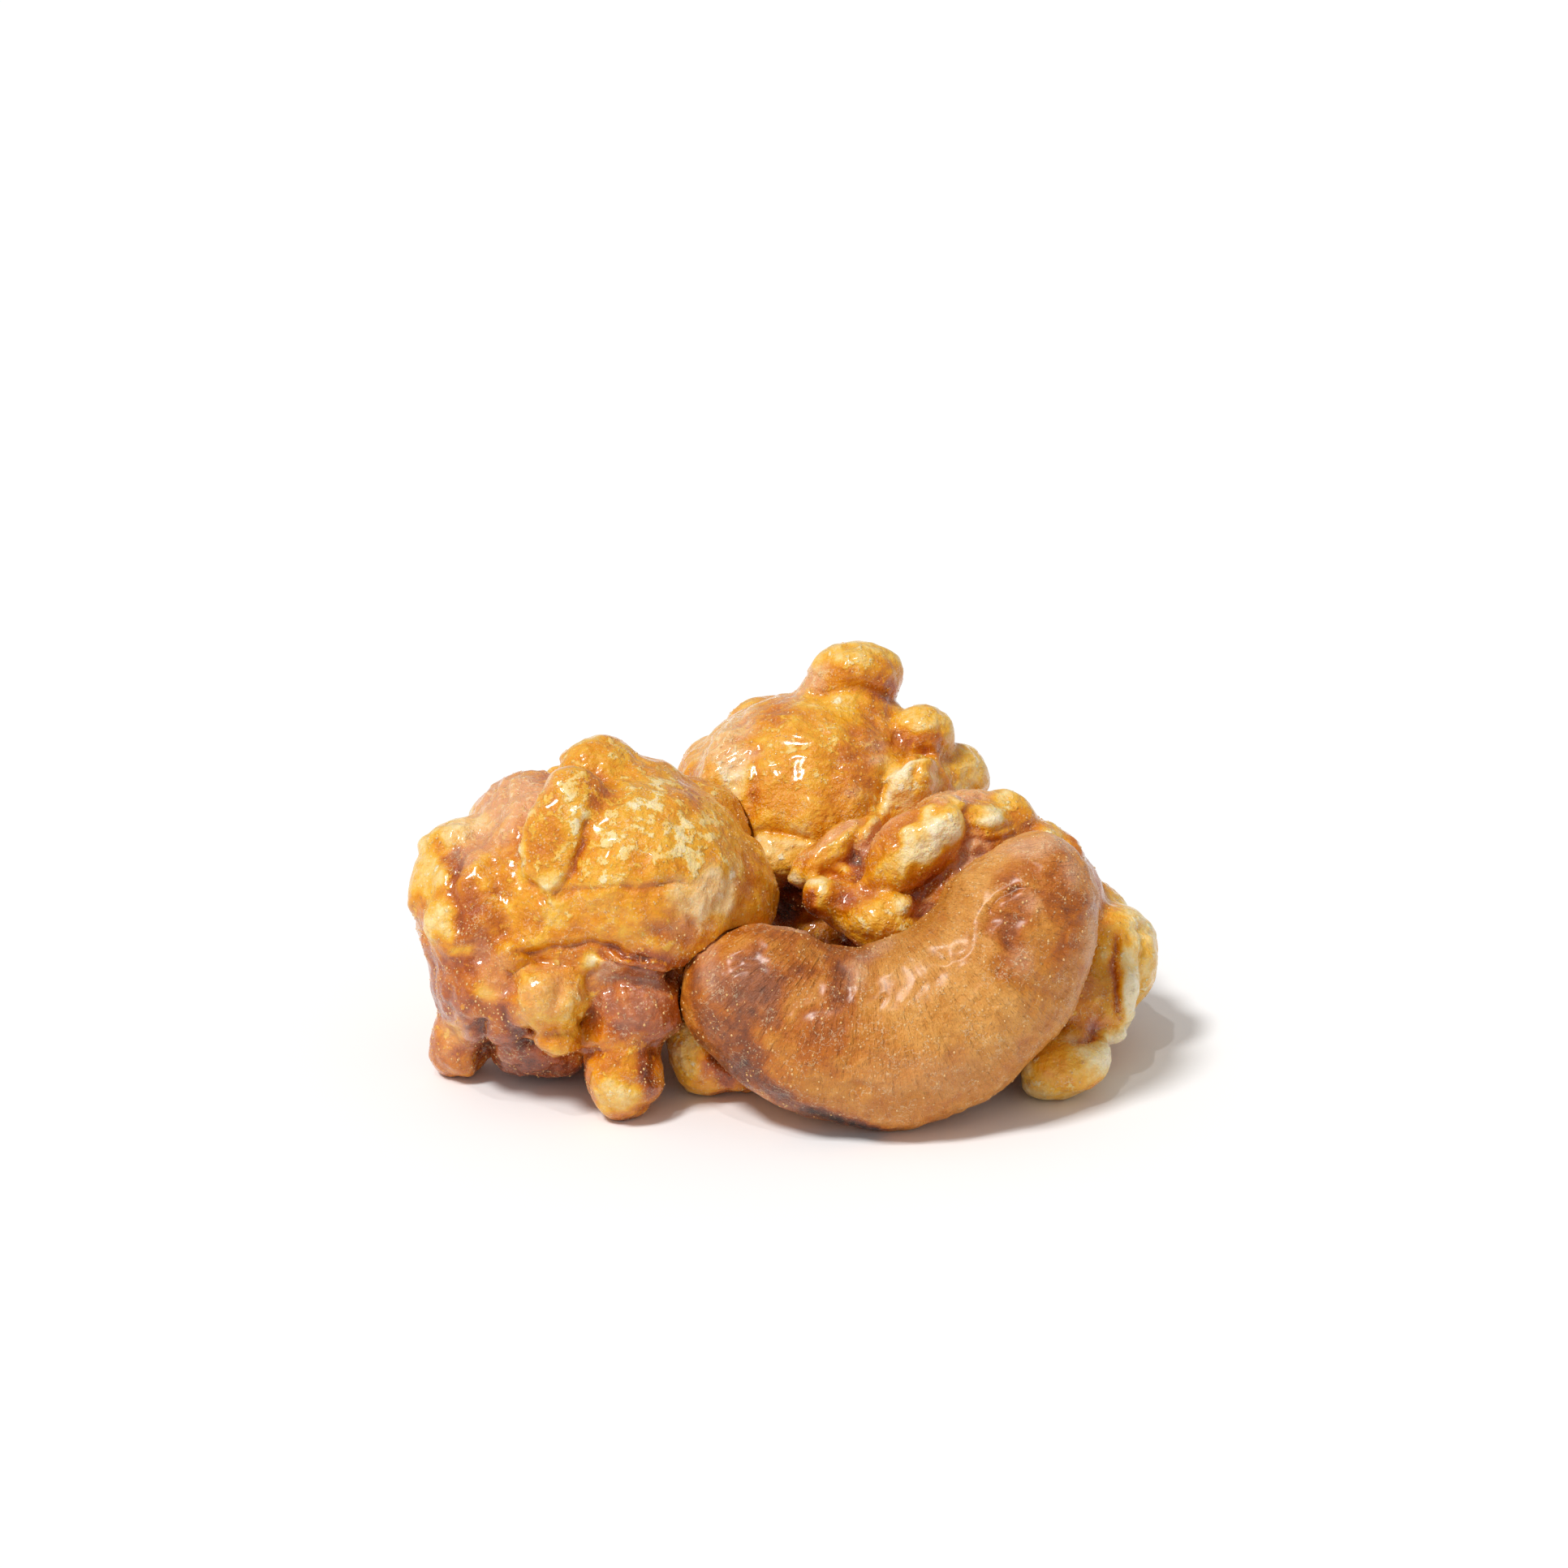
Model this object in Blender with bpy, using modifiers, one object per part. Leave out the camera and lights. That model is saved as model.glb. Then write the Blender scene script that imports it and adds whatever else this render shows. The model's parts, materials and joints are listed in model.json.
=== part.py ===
"""A small heap of caramel popcorn: three popped kernels and a caramel-coated cashew nut.

Metres, +Z up, +X to the right and +Y away from the side that the heap is looked at from.
The origin is on the table under the middle of the heap. Each popped kernel is a lump of
rounded lobes that run into each other, and the cashew is a plump crescent.
"""

import math
import random

import bmesh
import bpy
from mathutils import Euler, Matrix, Vector

MM = 0.001

# Driving sizes, in millimetres and degrees.
LOOK_TILT = 22.0            # the heap is laid out as seen from this far above the table
CASHEW_LEAN = 28.0          # the cashew leans back against the popcorn by this much
TOUCH_GAP = 0.3             # clearance where two pieces lie against each other
VOXEL = 0.5                 # grain of the fused skin
SOFTEN_STEPS = 5            # how far the caramel rounds off the creases between lobes
SOFTEN_FACTOR = 0.5
RIPPLE_HEIGHT = 0.35        # relief of the hardened caramel
RIPPLE_SIZE = 2.6

# Where the middle of each piece lies.
LEFT_CENTRE = (-12.6, -4.8, 11.2)
BACK_CENTRE = (2.5, 9.2, 13.0)
RIGHT_CENTRE = (14.5, -1.5, 10.0)
CASHEW_CENTRE = (6.3, -13.7, 5.72)

# Each lobe: its name, its centre from the kernel's centre, its half sizes and its roll
# in degrees. The three directions are right, away and up, as seen from LOOK_TILT.
LEFT_LOBES = [
    ("core", (0.2, 0.6, 0.2), (9.6, 9.2, 9.2), 0),
    ("dome", (3.2, -1.8, 1.5), (8.0, 8.2, 7.2), 25),
    ("cheek", (6.9, -0.9, 0.6), (5.1, 6.2, 5.3), 0),
    ("peak", (0.4, -1.2, 8.4), (3.0, 3.2, 2.8), 0),
    ("upper_dome", (3.0, -0.8, 6.4), (3.8, 4.2, 3.5), 20),
    ("shoulder", (-4.3, 1.6, 5.0), (4.3, 5.0, 4.0), 0),
    ("flap", (-1.8, -6.1, 4.3), (3.1, 2.5, 4.9), 15),
    ("upper_left_knob", (-9.3, -0.6, 4.1), (2.7, 2.6, 1.7), -20),
    ("left_side", (-7.3, -1.0, -0.8), (4.7, 6.0, 5.6), 0),
    ("left_ridge", (-10.9, -1.6, 1.0), (1.6, 2.2, 2.7), 0),
    ("teardrop", (-10.1, -5.0, -0.8), (1.1, 1.3, 1.5), 0),
    ("lower_left", (-6.2, -1.0, -5.1), (4.7, 6.2, 4.7), 0),
    ("left_ankle", (-8.7, 0.6, -7.2), (2.0, 2.4, 2.8), 0),
    ("left_foot", (-9.2, 1.0, -9.3), (2.2, 2.3, 2.4), 0),
    ("front_ankle", (1.7, -4.2, -8.6), (2.8, 3.2, 2.8), 0),
    ("front_foot", (1.9, -4.9, -10.9), (2.7, 2.7, 3.1), 0),
    ("belly", (-3.8, 0.4, -8.1), (4.3, 5.2, 3.5), 0),
    ("pale_facet", (-2.9, -6.6, -5.9), (2.8, 2.5, 2.3), 0),
    ("brow_knob", (-5.1, -6.2, -3.0), (1.6, 1.8, 1.2), 0),
    ("brown_lobe", (3.0, -4.9, -6.5), (3.3, 3.3, 2.8), 0),
    ("small_knob", (-2.3, -5.6, -8.8), (1.6, 1.9, 1.3), 0),
    ("lip", (2.3, -7.4, -3.7), (3.0, 1.6, 0.8), 12),
]
BACK_LOBES = [
    ("core", (-0.8, 0.0, -1.5), (9.1, 8.8, 9.0), 0),
    ("upper_left", (-7.3, 0.4, 1.5), (2.8, 4.2, 2.5), 0),
    ("neck", (1.7, -0.4, 6.5), (3.7, 3.2, 2.7), 0),
    ("top_knob", (2.3, -0.5, 8.6), (3.2, 2.9, 2.5), 0),
    ("right_body", (5.8, 0.4, 0.2), (4.5, 6.0, 4.8), 0),
    ("shoulder_knob", (6.8, -2.0, 4.5), (2.4, 2.7, 2.1), 0),
    ("right_ear", (9.1, 0.6, 1.6), (2.4, 3.1, 2.5), 0),
    ("pale_lobe", (5.8, -5.6, 1.0), (1.8, 2.0, 2.5), 25),
    ("lower_petal", (-3.2, -6.6, -4.2), (3.4, 2.6, 1.7), 0),
    ("left_fold", (-6.6, -3.2, 1.2), (2.4, 3.4, 4.0), 20),
    ("left_foot", (-4.4, 3.4, -9.2), (3.4, 3.4, 3.4), 0),
    ("right_foot", (5.0, 3.2, -9.2), (3.4, 3.4, 3.4), 0),
    ("front_foot", (0.2, -3.4, -10.3), (3.6, 3.2, 3.4), 0),
]
RIGHT_LOBES = [
    ("core", (-0.6, 0.8, -1.3), (7.8, 7.2, 7.2), 0),
    ("crest", (-2.6, -1.0, 4.5), (4.3, 4.5, 3.0), 0),
    ("petal", (-5.9, -4.4, 3.8), (4.4, 2.5, 2.2), -40),
    ("left_petal", (-11.4, -1.8, 3.3), (3.9, 1.8, 1.4), -36),
    ("left_body", (-7.2, 0.2, 0.4), (4.9, 5.0, 4.5), 0),
    ("stem", (-9.9, -3.2, -0.2), (2.9, 2.3, 2.0), 0),
    ("small_knob", (-12.2, -4.3, 0.4), (1.5, 1.6, 1.5), 0),
    ("bay_lobe", (-8.2, -5.0, -1.2), (2.8, 2.2, 1.9), 0),
    ("crown_right", (-0.2, -1.2, 5.4), (2.4, 2.6, 2.0), 0),
    ("shoulder_right", (2.4, -0.8, 2.6), (3.0, 3.4, 2.8), 0),
    ("right_lobe", (7.2, 0.4, -3.9), (3.4, 4.2, 3.9), 0),
    ("pale_rib", (7.3, -3.0, -6.7), (1.6, 2.0, 3.0), 14),
    ("thigh", (4.6, -2.6, -7.4), (3.3, 3.6, 3.3), 0),
    ("right_foot", (3.9, -5.8, -10.6), (3.3, 2.6, 2.3), -22),
    ("low_lobe", (-19.6, -5.4, -9.4), (3.0, 2.9, 3.4), 0),
    ("low_toe", (-17.6, -5.0, -10.4), (2.6, 2.6, 2.3), 0),
    ("low_arm_left", (-16.2, -3.0, -7.2), (3.0, 2.8, 2.8), 0),
    ("low_arm_middle", (-11.7, -1.2, -6.2), (3.6, 3.4, 3.4), 0),
    ("low_arm_right", (-7.0, 0.2, -4.8), (4.4, 4.2, 4.2), 0),
    ("back_foot", (3.0, 5.2, -6.0), (3.8, 3.6, 3.2), 0),
]

# The lobes of each kernel's far side follow a spiral, one golden angle apart.
GOLDEN_ANGLE = math.pi * (3.0 - math.sqrt(5.0))
REAR_STARTS = 0.3           # how far behind the core's middle they begin, as a share
REAR_WANDER = 0.3           # how far each strays from the spiral, in radians
REAR_SUNK = 0.3             # how much of each lies under the core's skin
REAR_SMALLEST = 0.55        # the smallest lobe, as a share of the largest
REAR_SQUEEZE = (0.8, 1.1)   # depth and height, as shares of the width
REAR_ROLL = 40.0            # most roll either way, in degrees
LEFT_REAR = (11, 12, 4.4)   # seed, how many lobes, and the largest one's half size
BACK_REAR = (5, 11, 4.2)
RIGHT_REAR = (8, 10, 3.8)

# The cashew's middle line is an arc from its left end to its right end.
CASHEW_ARC_CENTRE = (-1.1, 10.3)
CASHEW_ARC_FROM, CASHEW_ARC_TO = 231.0, 346.0
CASHEW_REACH = 10.3
CASHEW_END_RADIUS, CASHEW_WAIST_RADIUS = 5.3, 6.2
CASHEW_DEPTH = 0.86         # its thickness, as a share of its breadth
CASHEW_STATIONS = 15

# Colour, roughness and metallic value of each coat.
GOLDEN_CARAMEL = (0.74, 0.42, 0.10, 1.0)
AMBER_CARAMEL = (0.66, 0.33, 0.08, 1.0)
CASHEW_CARAMEL = (0.52, 0.24, 0.07, 1.0)
COAT_ROUGHNESS = 0.3

# How many triangles of the fused skin each piece keeps, as a share.
LEFT_KEPT, BACK_KEPT, RIGHT_KEPT, CASHEW_KEPT = 0.15, 0.14, 0.15, 0.14


def clear_scene():
    for old in list(bpy.data.objects):
        bpy.data.objects.remove(old, do_unlink=True)


def new_collection(name):
    made = bpy.data.collections.new(name)
    bpy.context.scene.collection.children.link(made)
    return made


def coat_material(name, colour):
    coat = bpy.data.materials.new(name)
    coat.use_nodes = True
    shader = coat.node_tree.nodes["Principled BSDF"]
    shader.inputs["Base Color"].default_value = colour
    shader.inputs["Roughness"].default_value = COAT_ROUGHNESS
    shader.inputs["Metallic"].default_value = 0.0
    coat.diffuse_color = colour
    return coat


def rear_lobes(core, seed, count, most_size):
    """The kernel's far side, which bulges evenly spread but uneven lobes off its core."""
    _, middle, half, _ = core
    draw = random.Random(seed)
    lobes = []
    for index in range(count):
        away = REAR_STARTS + (1.0 - REAR_STARTS) * (index + 0.5) / count
        ring = math.sqrt(1.0 - away * away)
        angle = index * GOLDEN_ANGLE + draw.uniform(-REAR_WANDER, REAR_WANDER)
        facing = (ring * math.cos(angle), away, ring * math.sin(angle))
        size = most_size * draw.uniform(REAR_SMALLEST, 1.0)
        reach = 1.0 - REAR_SUNK * size / half[1]
        centre = tuple(m + f * h * reach for m, f, h in zip(middle, facing, half))
        sizes = (size, size * draw.uniform(*REAR_SQUEEZE), size * draw.uniform(*REAR_SQUEEZE))
        lobes.append((f"rear_{index}", centre, sizes, draw.uniform(-REAR_ROLL, REAR_ROLL)))
    return lobes


def cashew_lobes():
    """Round sections along the arc, thickest at the waist."""
    lobes = []
    for step in range(CASHEW_STATIONS):
        share = step / (CASHEW_STATIONS - 1)
        angle = math.radians(CASHEW_ARC_FROM + (CASHEW_ARC_TO - CASHEW_ARC_FROM) * share)
        swell = math.sin(math.pi * share)
        radius = CASHEW_END_RADIUS + (CASHEW_WAIST_RADIUS - CASHEW_END_RADIUS) * swell
        right = CASHEW_ARC_CENTRE[0] + CASHEW_REACH * math.cos(angle)
        up = CASHEW_ARC_CENTRE[1] + CASHEW_REACH * math.sin(angle)
        sizes = (radius, radius * CASHEW_DEPTH, radius)
        lobes.append((f"section_{step}", (right, 0.0, up), sizes, 0))
    return lobes


def lobe_mesh(name, lobes, grow):
    """One mesh that holds every lobe as a ball, still overlapping each other."""
    shape = bmesh.new()
    for _, centre, sizes, roll in lobes:
        grown = [(size + grow) * MM for size in sizes]
        turn = Euler((0.0, math.radians(roll), 0.0)).to_matrix().to_4x4()
        place = Matrix.Translation(Vector(centre) * MM) @ turn @ Matrix.Diagonal((*grown, 1.0))
        bmesh.ops.create_icosphere(shape, subdivisions=3, radius=1.0, matrix=place)
    mesh = bpy.data.meshes.new(name)
    shape.to_mesh(mesh)
    shape.free()
    return mesh


def ripple_texture():
    texture = bpy.data.textures.new("caramel_ripple", "CLOUDS")
    texture.noise_scale = RIPPLE_SIZE * MM
    texture.noise_depth = 1
    return texture


def fuse(piece, kept, texture):
    """Joins the balls into one skin, rounds the creases, ripples it and thins its faces."""
    skin = piece.modifiers.new("fused_skin", "REMESH")
    skin.mode = "VOXEL"
    skin.voxel_size = VOXEL * MM
    soften = piece.modifiers.new("softened_creases", "SMOOTH")
    soften.factor = SOFTEN_FACTOR
    soften.iterations = SOFTEN_STEPS
    if texture:
        ripple = piece.modifiers.new("caramel_ripple", "DISPLACE")
        ripple.texture = texture
        ripple.texture_coords = "LOCAL"
        ripple.strength = RIPPLE_HEIGHT * MM
        ripple.mid_level = 0.5
    thin = piece.modifiers.new("fewer_faces", "DECIMATE")
    thin.ratio = kept


def make_piece(name, lobes, centre, tilt, kept, collection, texture, grow=0.0):
    piece = bpy.data.objects.new(name, lobe_mesh(name, lobes, grow))
    piece.location = Vector(centre) * MM
    piece.rotation_euler = (math.radians(-tilt), 0.0, 0.0)
    collection.objects.link(piece)
    fuse(piece, kept, texture)
    return piece


def make_mould(name, lobes, centre, tilt, kept, collection, texture):
    """The piece grown by the touch gap, which presses its form into its neighbours."""
    mould = make_piece(name, lobes, centre, tilt, kept, collection, texture, TOUCH_GAP)
    mould.hide_render = True
    mould.display_type = "WIRE"
    return mould


def make_table_cutter(collection):
    """A block under the table top, which gives each foot its small flat spot."""
    block = bpy.data.meshes.new("table_cutter")
    shape = bmesh.new()
    width, depth = 120.0, 20.0
    place = Matrix.Translation((0.0, 0.0, -depth / 2 * MM))
    size = Matrix.Diagonal((width * MM, width * MM, depth * MM, 1.0))
    bmesh.ops.create_cube(shape, size=1.0, matrix=place @ size)
    shape.to_mesh(block)
    shape.free()
    cutter = bpy.data.objects.new("table_cutter", block)
    cutter.hide_render = True
    cutter.display_type = "WIRE"
    collection.objects.link(cutter)
    return cutter


def cut(piece, cutter):
    trim = piece.modifiers.new("clear_of_" + cutter.name, "BOOLEAN")
    trim.operation = "DIFFERENCE"
    trim.object = cutter


def main():
    clear_scene()
    heap = new_collection("caramel_popcorn")
    cutters = new_collection("cutters")
    ripple = ripple_texture()
    golden = coat_material("golden_caramel", GOLDEN_CARAMEL)
    amber = coat_material("amber_caramel", AMBER_CARAMEL)
    tan = coat_material("cashew_caramel", CASHEW_CARAMEL)

    left_lobes = LEFT_LOBES + rear_lobes(LEFT_LOBES[0], *LEFT_REAR)
    back_lobes = BACK_LOBES + rear_lobes(BACK_LOBES[0], *BACK_REAR)
    right_lobes = RIGHT_LOBES + rear_lobes(RIGHT_LOBES[0], *RIGHT_REAR)
    left_form = (left_lobes, LEFT_CENTRE, LOOK_TILT, LEFT_KEPT)
    back_form = (back_lobes, BACK_CENTRE, LOOK_TILT, BACK_KEPT)
    right_form = (right_lobes, RIGHT_CENTRE, LOOK_TILT, RIGHT_KEPT)
    cashew_form = (cashew_lobes(), CASHEW_CENTRE, CASHEW_LEAN, CASHEW_KEPT)

    left = make_piece("popcorn_left", *left_form, heap, ripple)
    back = make_piece("popcorn_back", *back_form, heap, ripple)
    right = make_piece("popcorn_right", *right_form, heap, ripple)
    cashew = make_piece("cashew", *cashew_form, heap, None)
    for piece, coat in ((left, golden), (back, golden), (right, amber), (cashew, tan)):
        piece.data.materials.append(coat)

    left_mould = make_mould("left_mould", *left_form, cutters, ripple)
    right_mould = make_mould("right_mould", *right_form, cutters, ripple)
    cashew_mould = make_mould("cashew_mould", *cashew_form, cutters, None)
    table = make_table_cutter(cutters)
    for piece, neighbours in (
        (left, (cashew_mould,)),
        (right, (cashew_mould, left_mould)),
        (back, (left_mould, right_mould)),
        (cashew, ()),
    ):
        for neighbour in neighbours:
            cut(piece, neighbour)
        cut(piece, table)


main()
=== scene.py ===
"""Looks of a small heap of caramel popcorn: three popped kernels and a coated cashew.

Each piece is grown from the same round lobes as its solid, on a much finer skin. Bulges,
folds, creases and small bumps are pressed into that skin, and the thickness of the caramel
is kept on it as an attribute, which the coats turn into cream, gold, amber and brown.
"""

import itertools
import json
import math
import random
from collections import namedtuple

import bmesh
import bpy
import numpy as np
from bpy.props import FloatProperty, FloatVectorProperty, IntProperty, PointerProperty
from mathutils import Euler, Matrix, Vector
from mathutils.bvhtree import BVHTree

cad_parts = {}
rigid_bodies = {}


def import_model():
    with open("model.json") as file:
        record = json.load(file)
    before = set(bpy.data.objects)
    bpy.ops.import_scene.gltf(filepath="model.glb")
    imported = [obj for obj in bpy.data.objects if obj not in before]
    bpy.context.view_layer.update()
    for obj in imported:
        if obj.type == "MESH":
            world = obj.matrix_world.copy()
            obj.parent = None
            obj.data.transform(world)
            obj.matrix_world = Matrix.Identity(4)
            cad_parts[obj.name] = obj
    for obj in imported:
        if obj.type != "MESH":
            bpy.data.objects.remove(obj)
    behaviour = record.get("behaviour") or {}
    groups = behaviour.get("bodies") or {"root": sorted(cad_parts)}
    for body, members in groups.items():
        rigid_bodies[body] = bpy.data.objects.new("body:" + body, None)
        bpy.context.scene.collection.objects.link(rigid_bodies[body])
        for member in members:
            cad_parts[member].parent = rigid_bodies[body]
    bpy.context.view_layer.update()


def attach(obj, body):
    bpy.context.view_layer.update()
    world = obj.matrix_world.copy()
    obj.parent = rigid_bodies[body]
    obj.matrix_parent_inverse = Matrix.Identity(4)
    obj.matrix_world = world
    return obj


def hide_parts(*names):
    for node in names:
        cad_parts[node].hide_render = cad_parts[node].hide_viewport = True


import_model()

bl_info = {
    "name": "Caramel Popcorn Heap",
    "version": (1, 0, 0),
    "blender": (4, 5, 0),
    "location": "3D View > Sidebar > Popcorn",
    "description": "Builds a small heap of caramel popcorn with a coated cashew",
    "category": "Add Mesh",
}

MM = 0.001
BODY = "root"
STARTUP_OBJECTS = ("Camera", "Cube", "Light")

# How the heap is seen. The kernels' own directions are right, away and up from here.
LOOK_TILT = 22.0
CASHEW_LEAN = 28.0
LOOK_TARGET = (-0.2, -2.8, 19.0)
LOOK_DISTANCE = 300.0
FILM_WIDTH = 36.0
LENS = 103.98
NEAREST_SEEN = 0.01

# Where each light comes from, and how wide it looks, in degrees.
MAIN_LIGHT = ((-0.42, -0.30, 0.86), 12.0)
SPARKLE_LIGHT = ((-0.20, -0.25, 0.95), 1.6)
WHITE = (1.0, 1.0, 1.0, 1.0)
FLOOR_SHADE = (0.8, 0.8, 0.8, 1.0)
FLOOR_CLOUDS = 400.0

# Clearance between neighbours, and how far a neighbour is looked for.
TOUCH_GAP = 0.15
PRESS_REACH = 6.0
PRESS_MARGIN = 1.0

# How often the skin, and what was pressed, are evened out where neighbours meet.
PRESSED_SOFTENING = 3
PRESSED_SPREAD = 4

Kernel = namedtuple("Kernel", "centre tilt lobes rear marks creases neighbours slot seed")

# Each lobe: its name, centre, half sizes, roll in degrees, and how thick its caramel is,
# from 0 for bare popped corn through 0.5 for golden to 1 for a dark brown pool.
LEFT_LOBES = [
    ("core", (0.2, 0.6, 0.2), (9.6, 9.2, 9.2), 0, 0.50),
    ("dome", (3.2, -1.8, 1.5), (8.0, 8.2, 7.2), 25, 0.40),
    ("cheek", (6.9, -0.9, 0.6), (5.1, 6.2, 5.3), 0, 0.44),
    ("peak", (0.4, -1.2, 8.4), (3.0, 3.2, 2.8), 0, 0.44),
    ("upper_dome", (3.0, -0.8, 6.4), (3.8, 4.2, 3.5), 20, 0.42),
    ("shoulder", (-4.3, 1.6, 5.0), (4.3, 5.0, 4.0), 0, 0.66),
    ("flap", (-1.8, -6.1, 4.3), (3.1, 2.5, 4.9), 15, 0.44),
    ("upper_left_knob", (-9.3, -0.6, 4.1), (2.7, 2.6, 1.7), -20, 0.22),
    ("left_side", (-7.3, -1.0, -0.8), (4.7, 6.0, 5.6), 0, 0.68),
    ("left_ridge", (-10.9, -1.6, 1.0), (1.6, 2.2, 2.7), 0, 0.28),
    ("teardrop", (-10.1, -5.0, -0.8), (1.1, 1.3, 1.5), 0, 0.24),
    ("lower_left", (-6.2, -1.0, -5.1), (4.7, 6.2, 4.7), 0, 0.76),
    ("left_ankle", (-8.7, 0.6, -7.2), (2.0, 2.4, 2.8), 0, 0.72),
    ("left_foot", (-9.2, 1.0, -9.3), (2.2, 2.3, 2.4), 0, 0.64),
    ("front_ankle", (1.7, -4.2, -8.6), (2.8, 3.2, 2.8), 0, 0.62),
    ("front_foot", (1.9, -4.9, -10.9), (2.7, 2.7, 3.1), 0, 0.60),
    ("belly", (-3.8, 0.4, -8.1), (4.3, 5.2, 3.5), 0, 0.82),
    ("pale_facet", (-2.9, -6.6, -5.9), (2.8, 2.5, 2.3), 0, 0.30),
    ("brow_knob", (-5.1, -6.2, -3.0), (1.6, 1.8, 1.2), 0, 0.38),
    ("brown_lobe", (3.0, -4.9, -6.5), (3.3, 3.3, 2.8), 0, 0.76),
    ("small_knob", (-2.3, -5.6, -8.8), (1.6, 1.9, 1.3), 0, 0.40),
    ("lip", (2.3, -7.4, -3.7), (3.0, 1.6, 0.8), 12, 0.72),
]
BACK_LOBES = [
    ("core", (-0.8, 0.0, -1.5), (9.1, 8.8, 9.0), 0, 0.42),
    ("upper_left", (-7.3, 0.4, 1.5), (2.8, 4.2, 2.5), 0, 0.46),
    ("neck", (1.7, -0.4, 6.5), (3.7, 3.2, 2.7), 0, 0.58),
    ("top_knob", (2.3, -0.5, 8.6), (3.2, 2.9, 2.5), 0, 0.30),
    ("right_body", (5.8, 0.4, 0.2), (4.5, 6.0, 4.8), 0, 0.58),
    ("shoulder_knob", (6.8, -2.0, 4.5), (2.4, 2.7, 2.1), 0, 0.26),
    ("right_ear", (9.1, 0.6, 1.6), (2.4, 3.1, 2.5), 0, 0.32),
    ("pale_lobe", (5.8, -5.6, 1.0), (1.8, 2.0, 2.5), 25, 0.18),
    ("lower_petal", (-3.2, -6.6, -4.2), (3.4, 2.6, 1.7), 0, 0.28),
    ("left_fold", (-6.6, -3.2, 1.2), (2.4, 3.4, 4.0), 20, 0.48),
    ("left_foot", (-4.4, 3.4, -9.2), (3.4, 3.4, 3.4), 0, 0.58),
    ("right_foot", (5.0, 3.2, -9.2), (3.4, 3.4, 3.4), 0, 0.56),
    ("front_foot", (0.2, -3.4, -10.3), (3.6, 3.2, 3.4), 0, 0.60),
]
RIGHT_LOBES = [
    ("core", (-0.6, 0.8, -1.3), (7.8, 7.2, 7.2), 0, 0.62),
    ("crest", (-2.6, -1.0, 4.5), (4.3, 4.5, 3.0), 0, 0.54),
    ("petal", (-5.9, -4.4, 3.8), (4.4, 2.5, 2.2), -40, 0.60),
    ("left_petal", (-11.4, -1.8, 3.3), (3.9, 1.8, 1.4), -36, 0.50),
    ("left_body", (-7.2, 0.2, 0.4), (4.9, 5.0, 4.5), 0, 0.76),
    ("stem", (-9.9, -3.2, -0.2), (2.9, 2.3, 2.0), 0, 0.62),
    ("small_knob", (-12.2, -4.3, 0.4), (1.5, 1.6, 1.5), 0, 0.20),
    ("bay_lobe", (-8.2, -5.0, -1.2), (2.8, 2.2, 1.9), 0, 0.40),
    ("crown_right", (-0.2, -1.2, 5.4), (2.4, 2.6, 2.0), 0, 0.30),
    ("shoulder_right", (2.4, -0.8, 2.6), (3.0, 3.4, 2.8), 0, 0.64),
    ("right_lobe", (7.2, 0.4, -3.9), (3.4, 4.2, 3.9), 0, 0.30),
    ("pale_rib", (7.3, -3.0, -6.7), (1.6, 2.0, 3.0), 14, 0.14),
    ("thigh", (4.6, -2.6, -7.4), (3.3, 3.6, 3.3), 0, 0.60),
    ("right_foot", (3.9, -5.8, -10.6), (3.3, 2.6, 2.3), -22, 0.26),
    ("low_lobe", (-19.6, -5.4, -9.4), (3.0, 2.9, 3.4), 0, 0.34),
    ("low_toe", (-17.6, -5.0, -10.4), (2.6, 2.6, 2.3), 0, 0.60),
    ("low_arm_left", (-16.2, -3.0, -7.2), (3.0, 2.8, 2.8), 0, 0.74),
    ("low_arm_middle", (-11.7, -1.2, -6.2), (3.6, 3.4, 3.4), 0, 0.78),
    ("low_arm_right", (-7.0, 0.2, -4.8), (4.4, 4.2, 4.2), 0, 0.78),
    ("back_foot", (3.0, 5.2, -6.0), (3.8, 3.6, 3.2), 0, 0.60),
]

# The far side's lobes follow a spiral, one golden angle apart.
GOLDEN_ANGLE = math.pi * (3.0 - math.sqrt(5.0))
REAR_STARTS = 0.3
REAR_WANDER = 0.3
REAR_SUNK = 0.3
REAR_SMALLEST = 0.55
REAR_SQUEEZE = (0.8, 1.1)
REAR_ROLL = 40.0
REAR_COATS = (0.22, 0.72)

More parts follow.
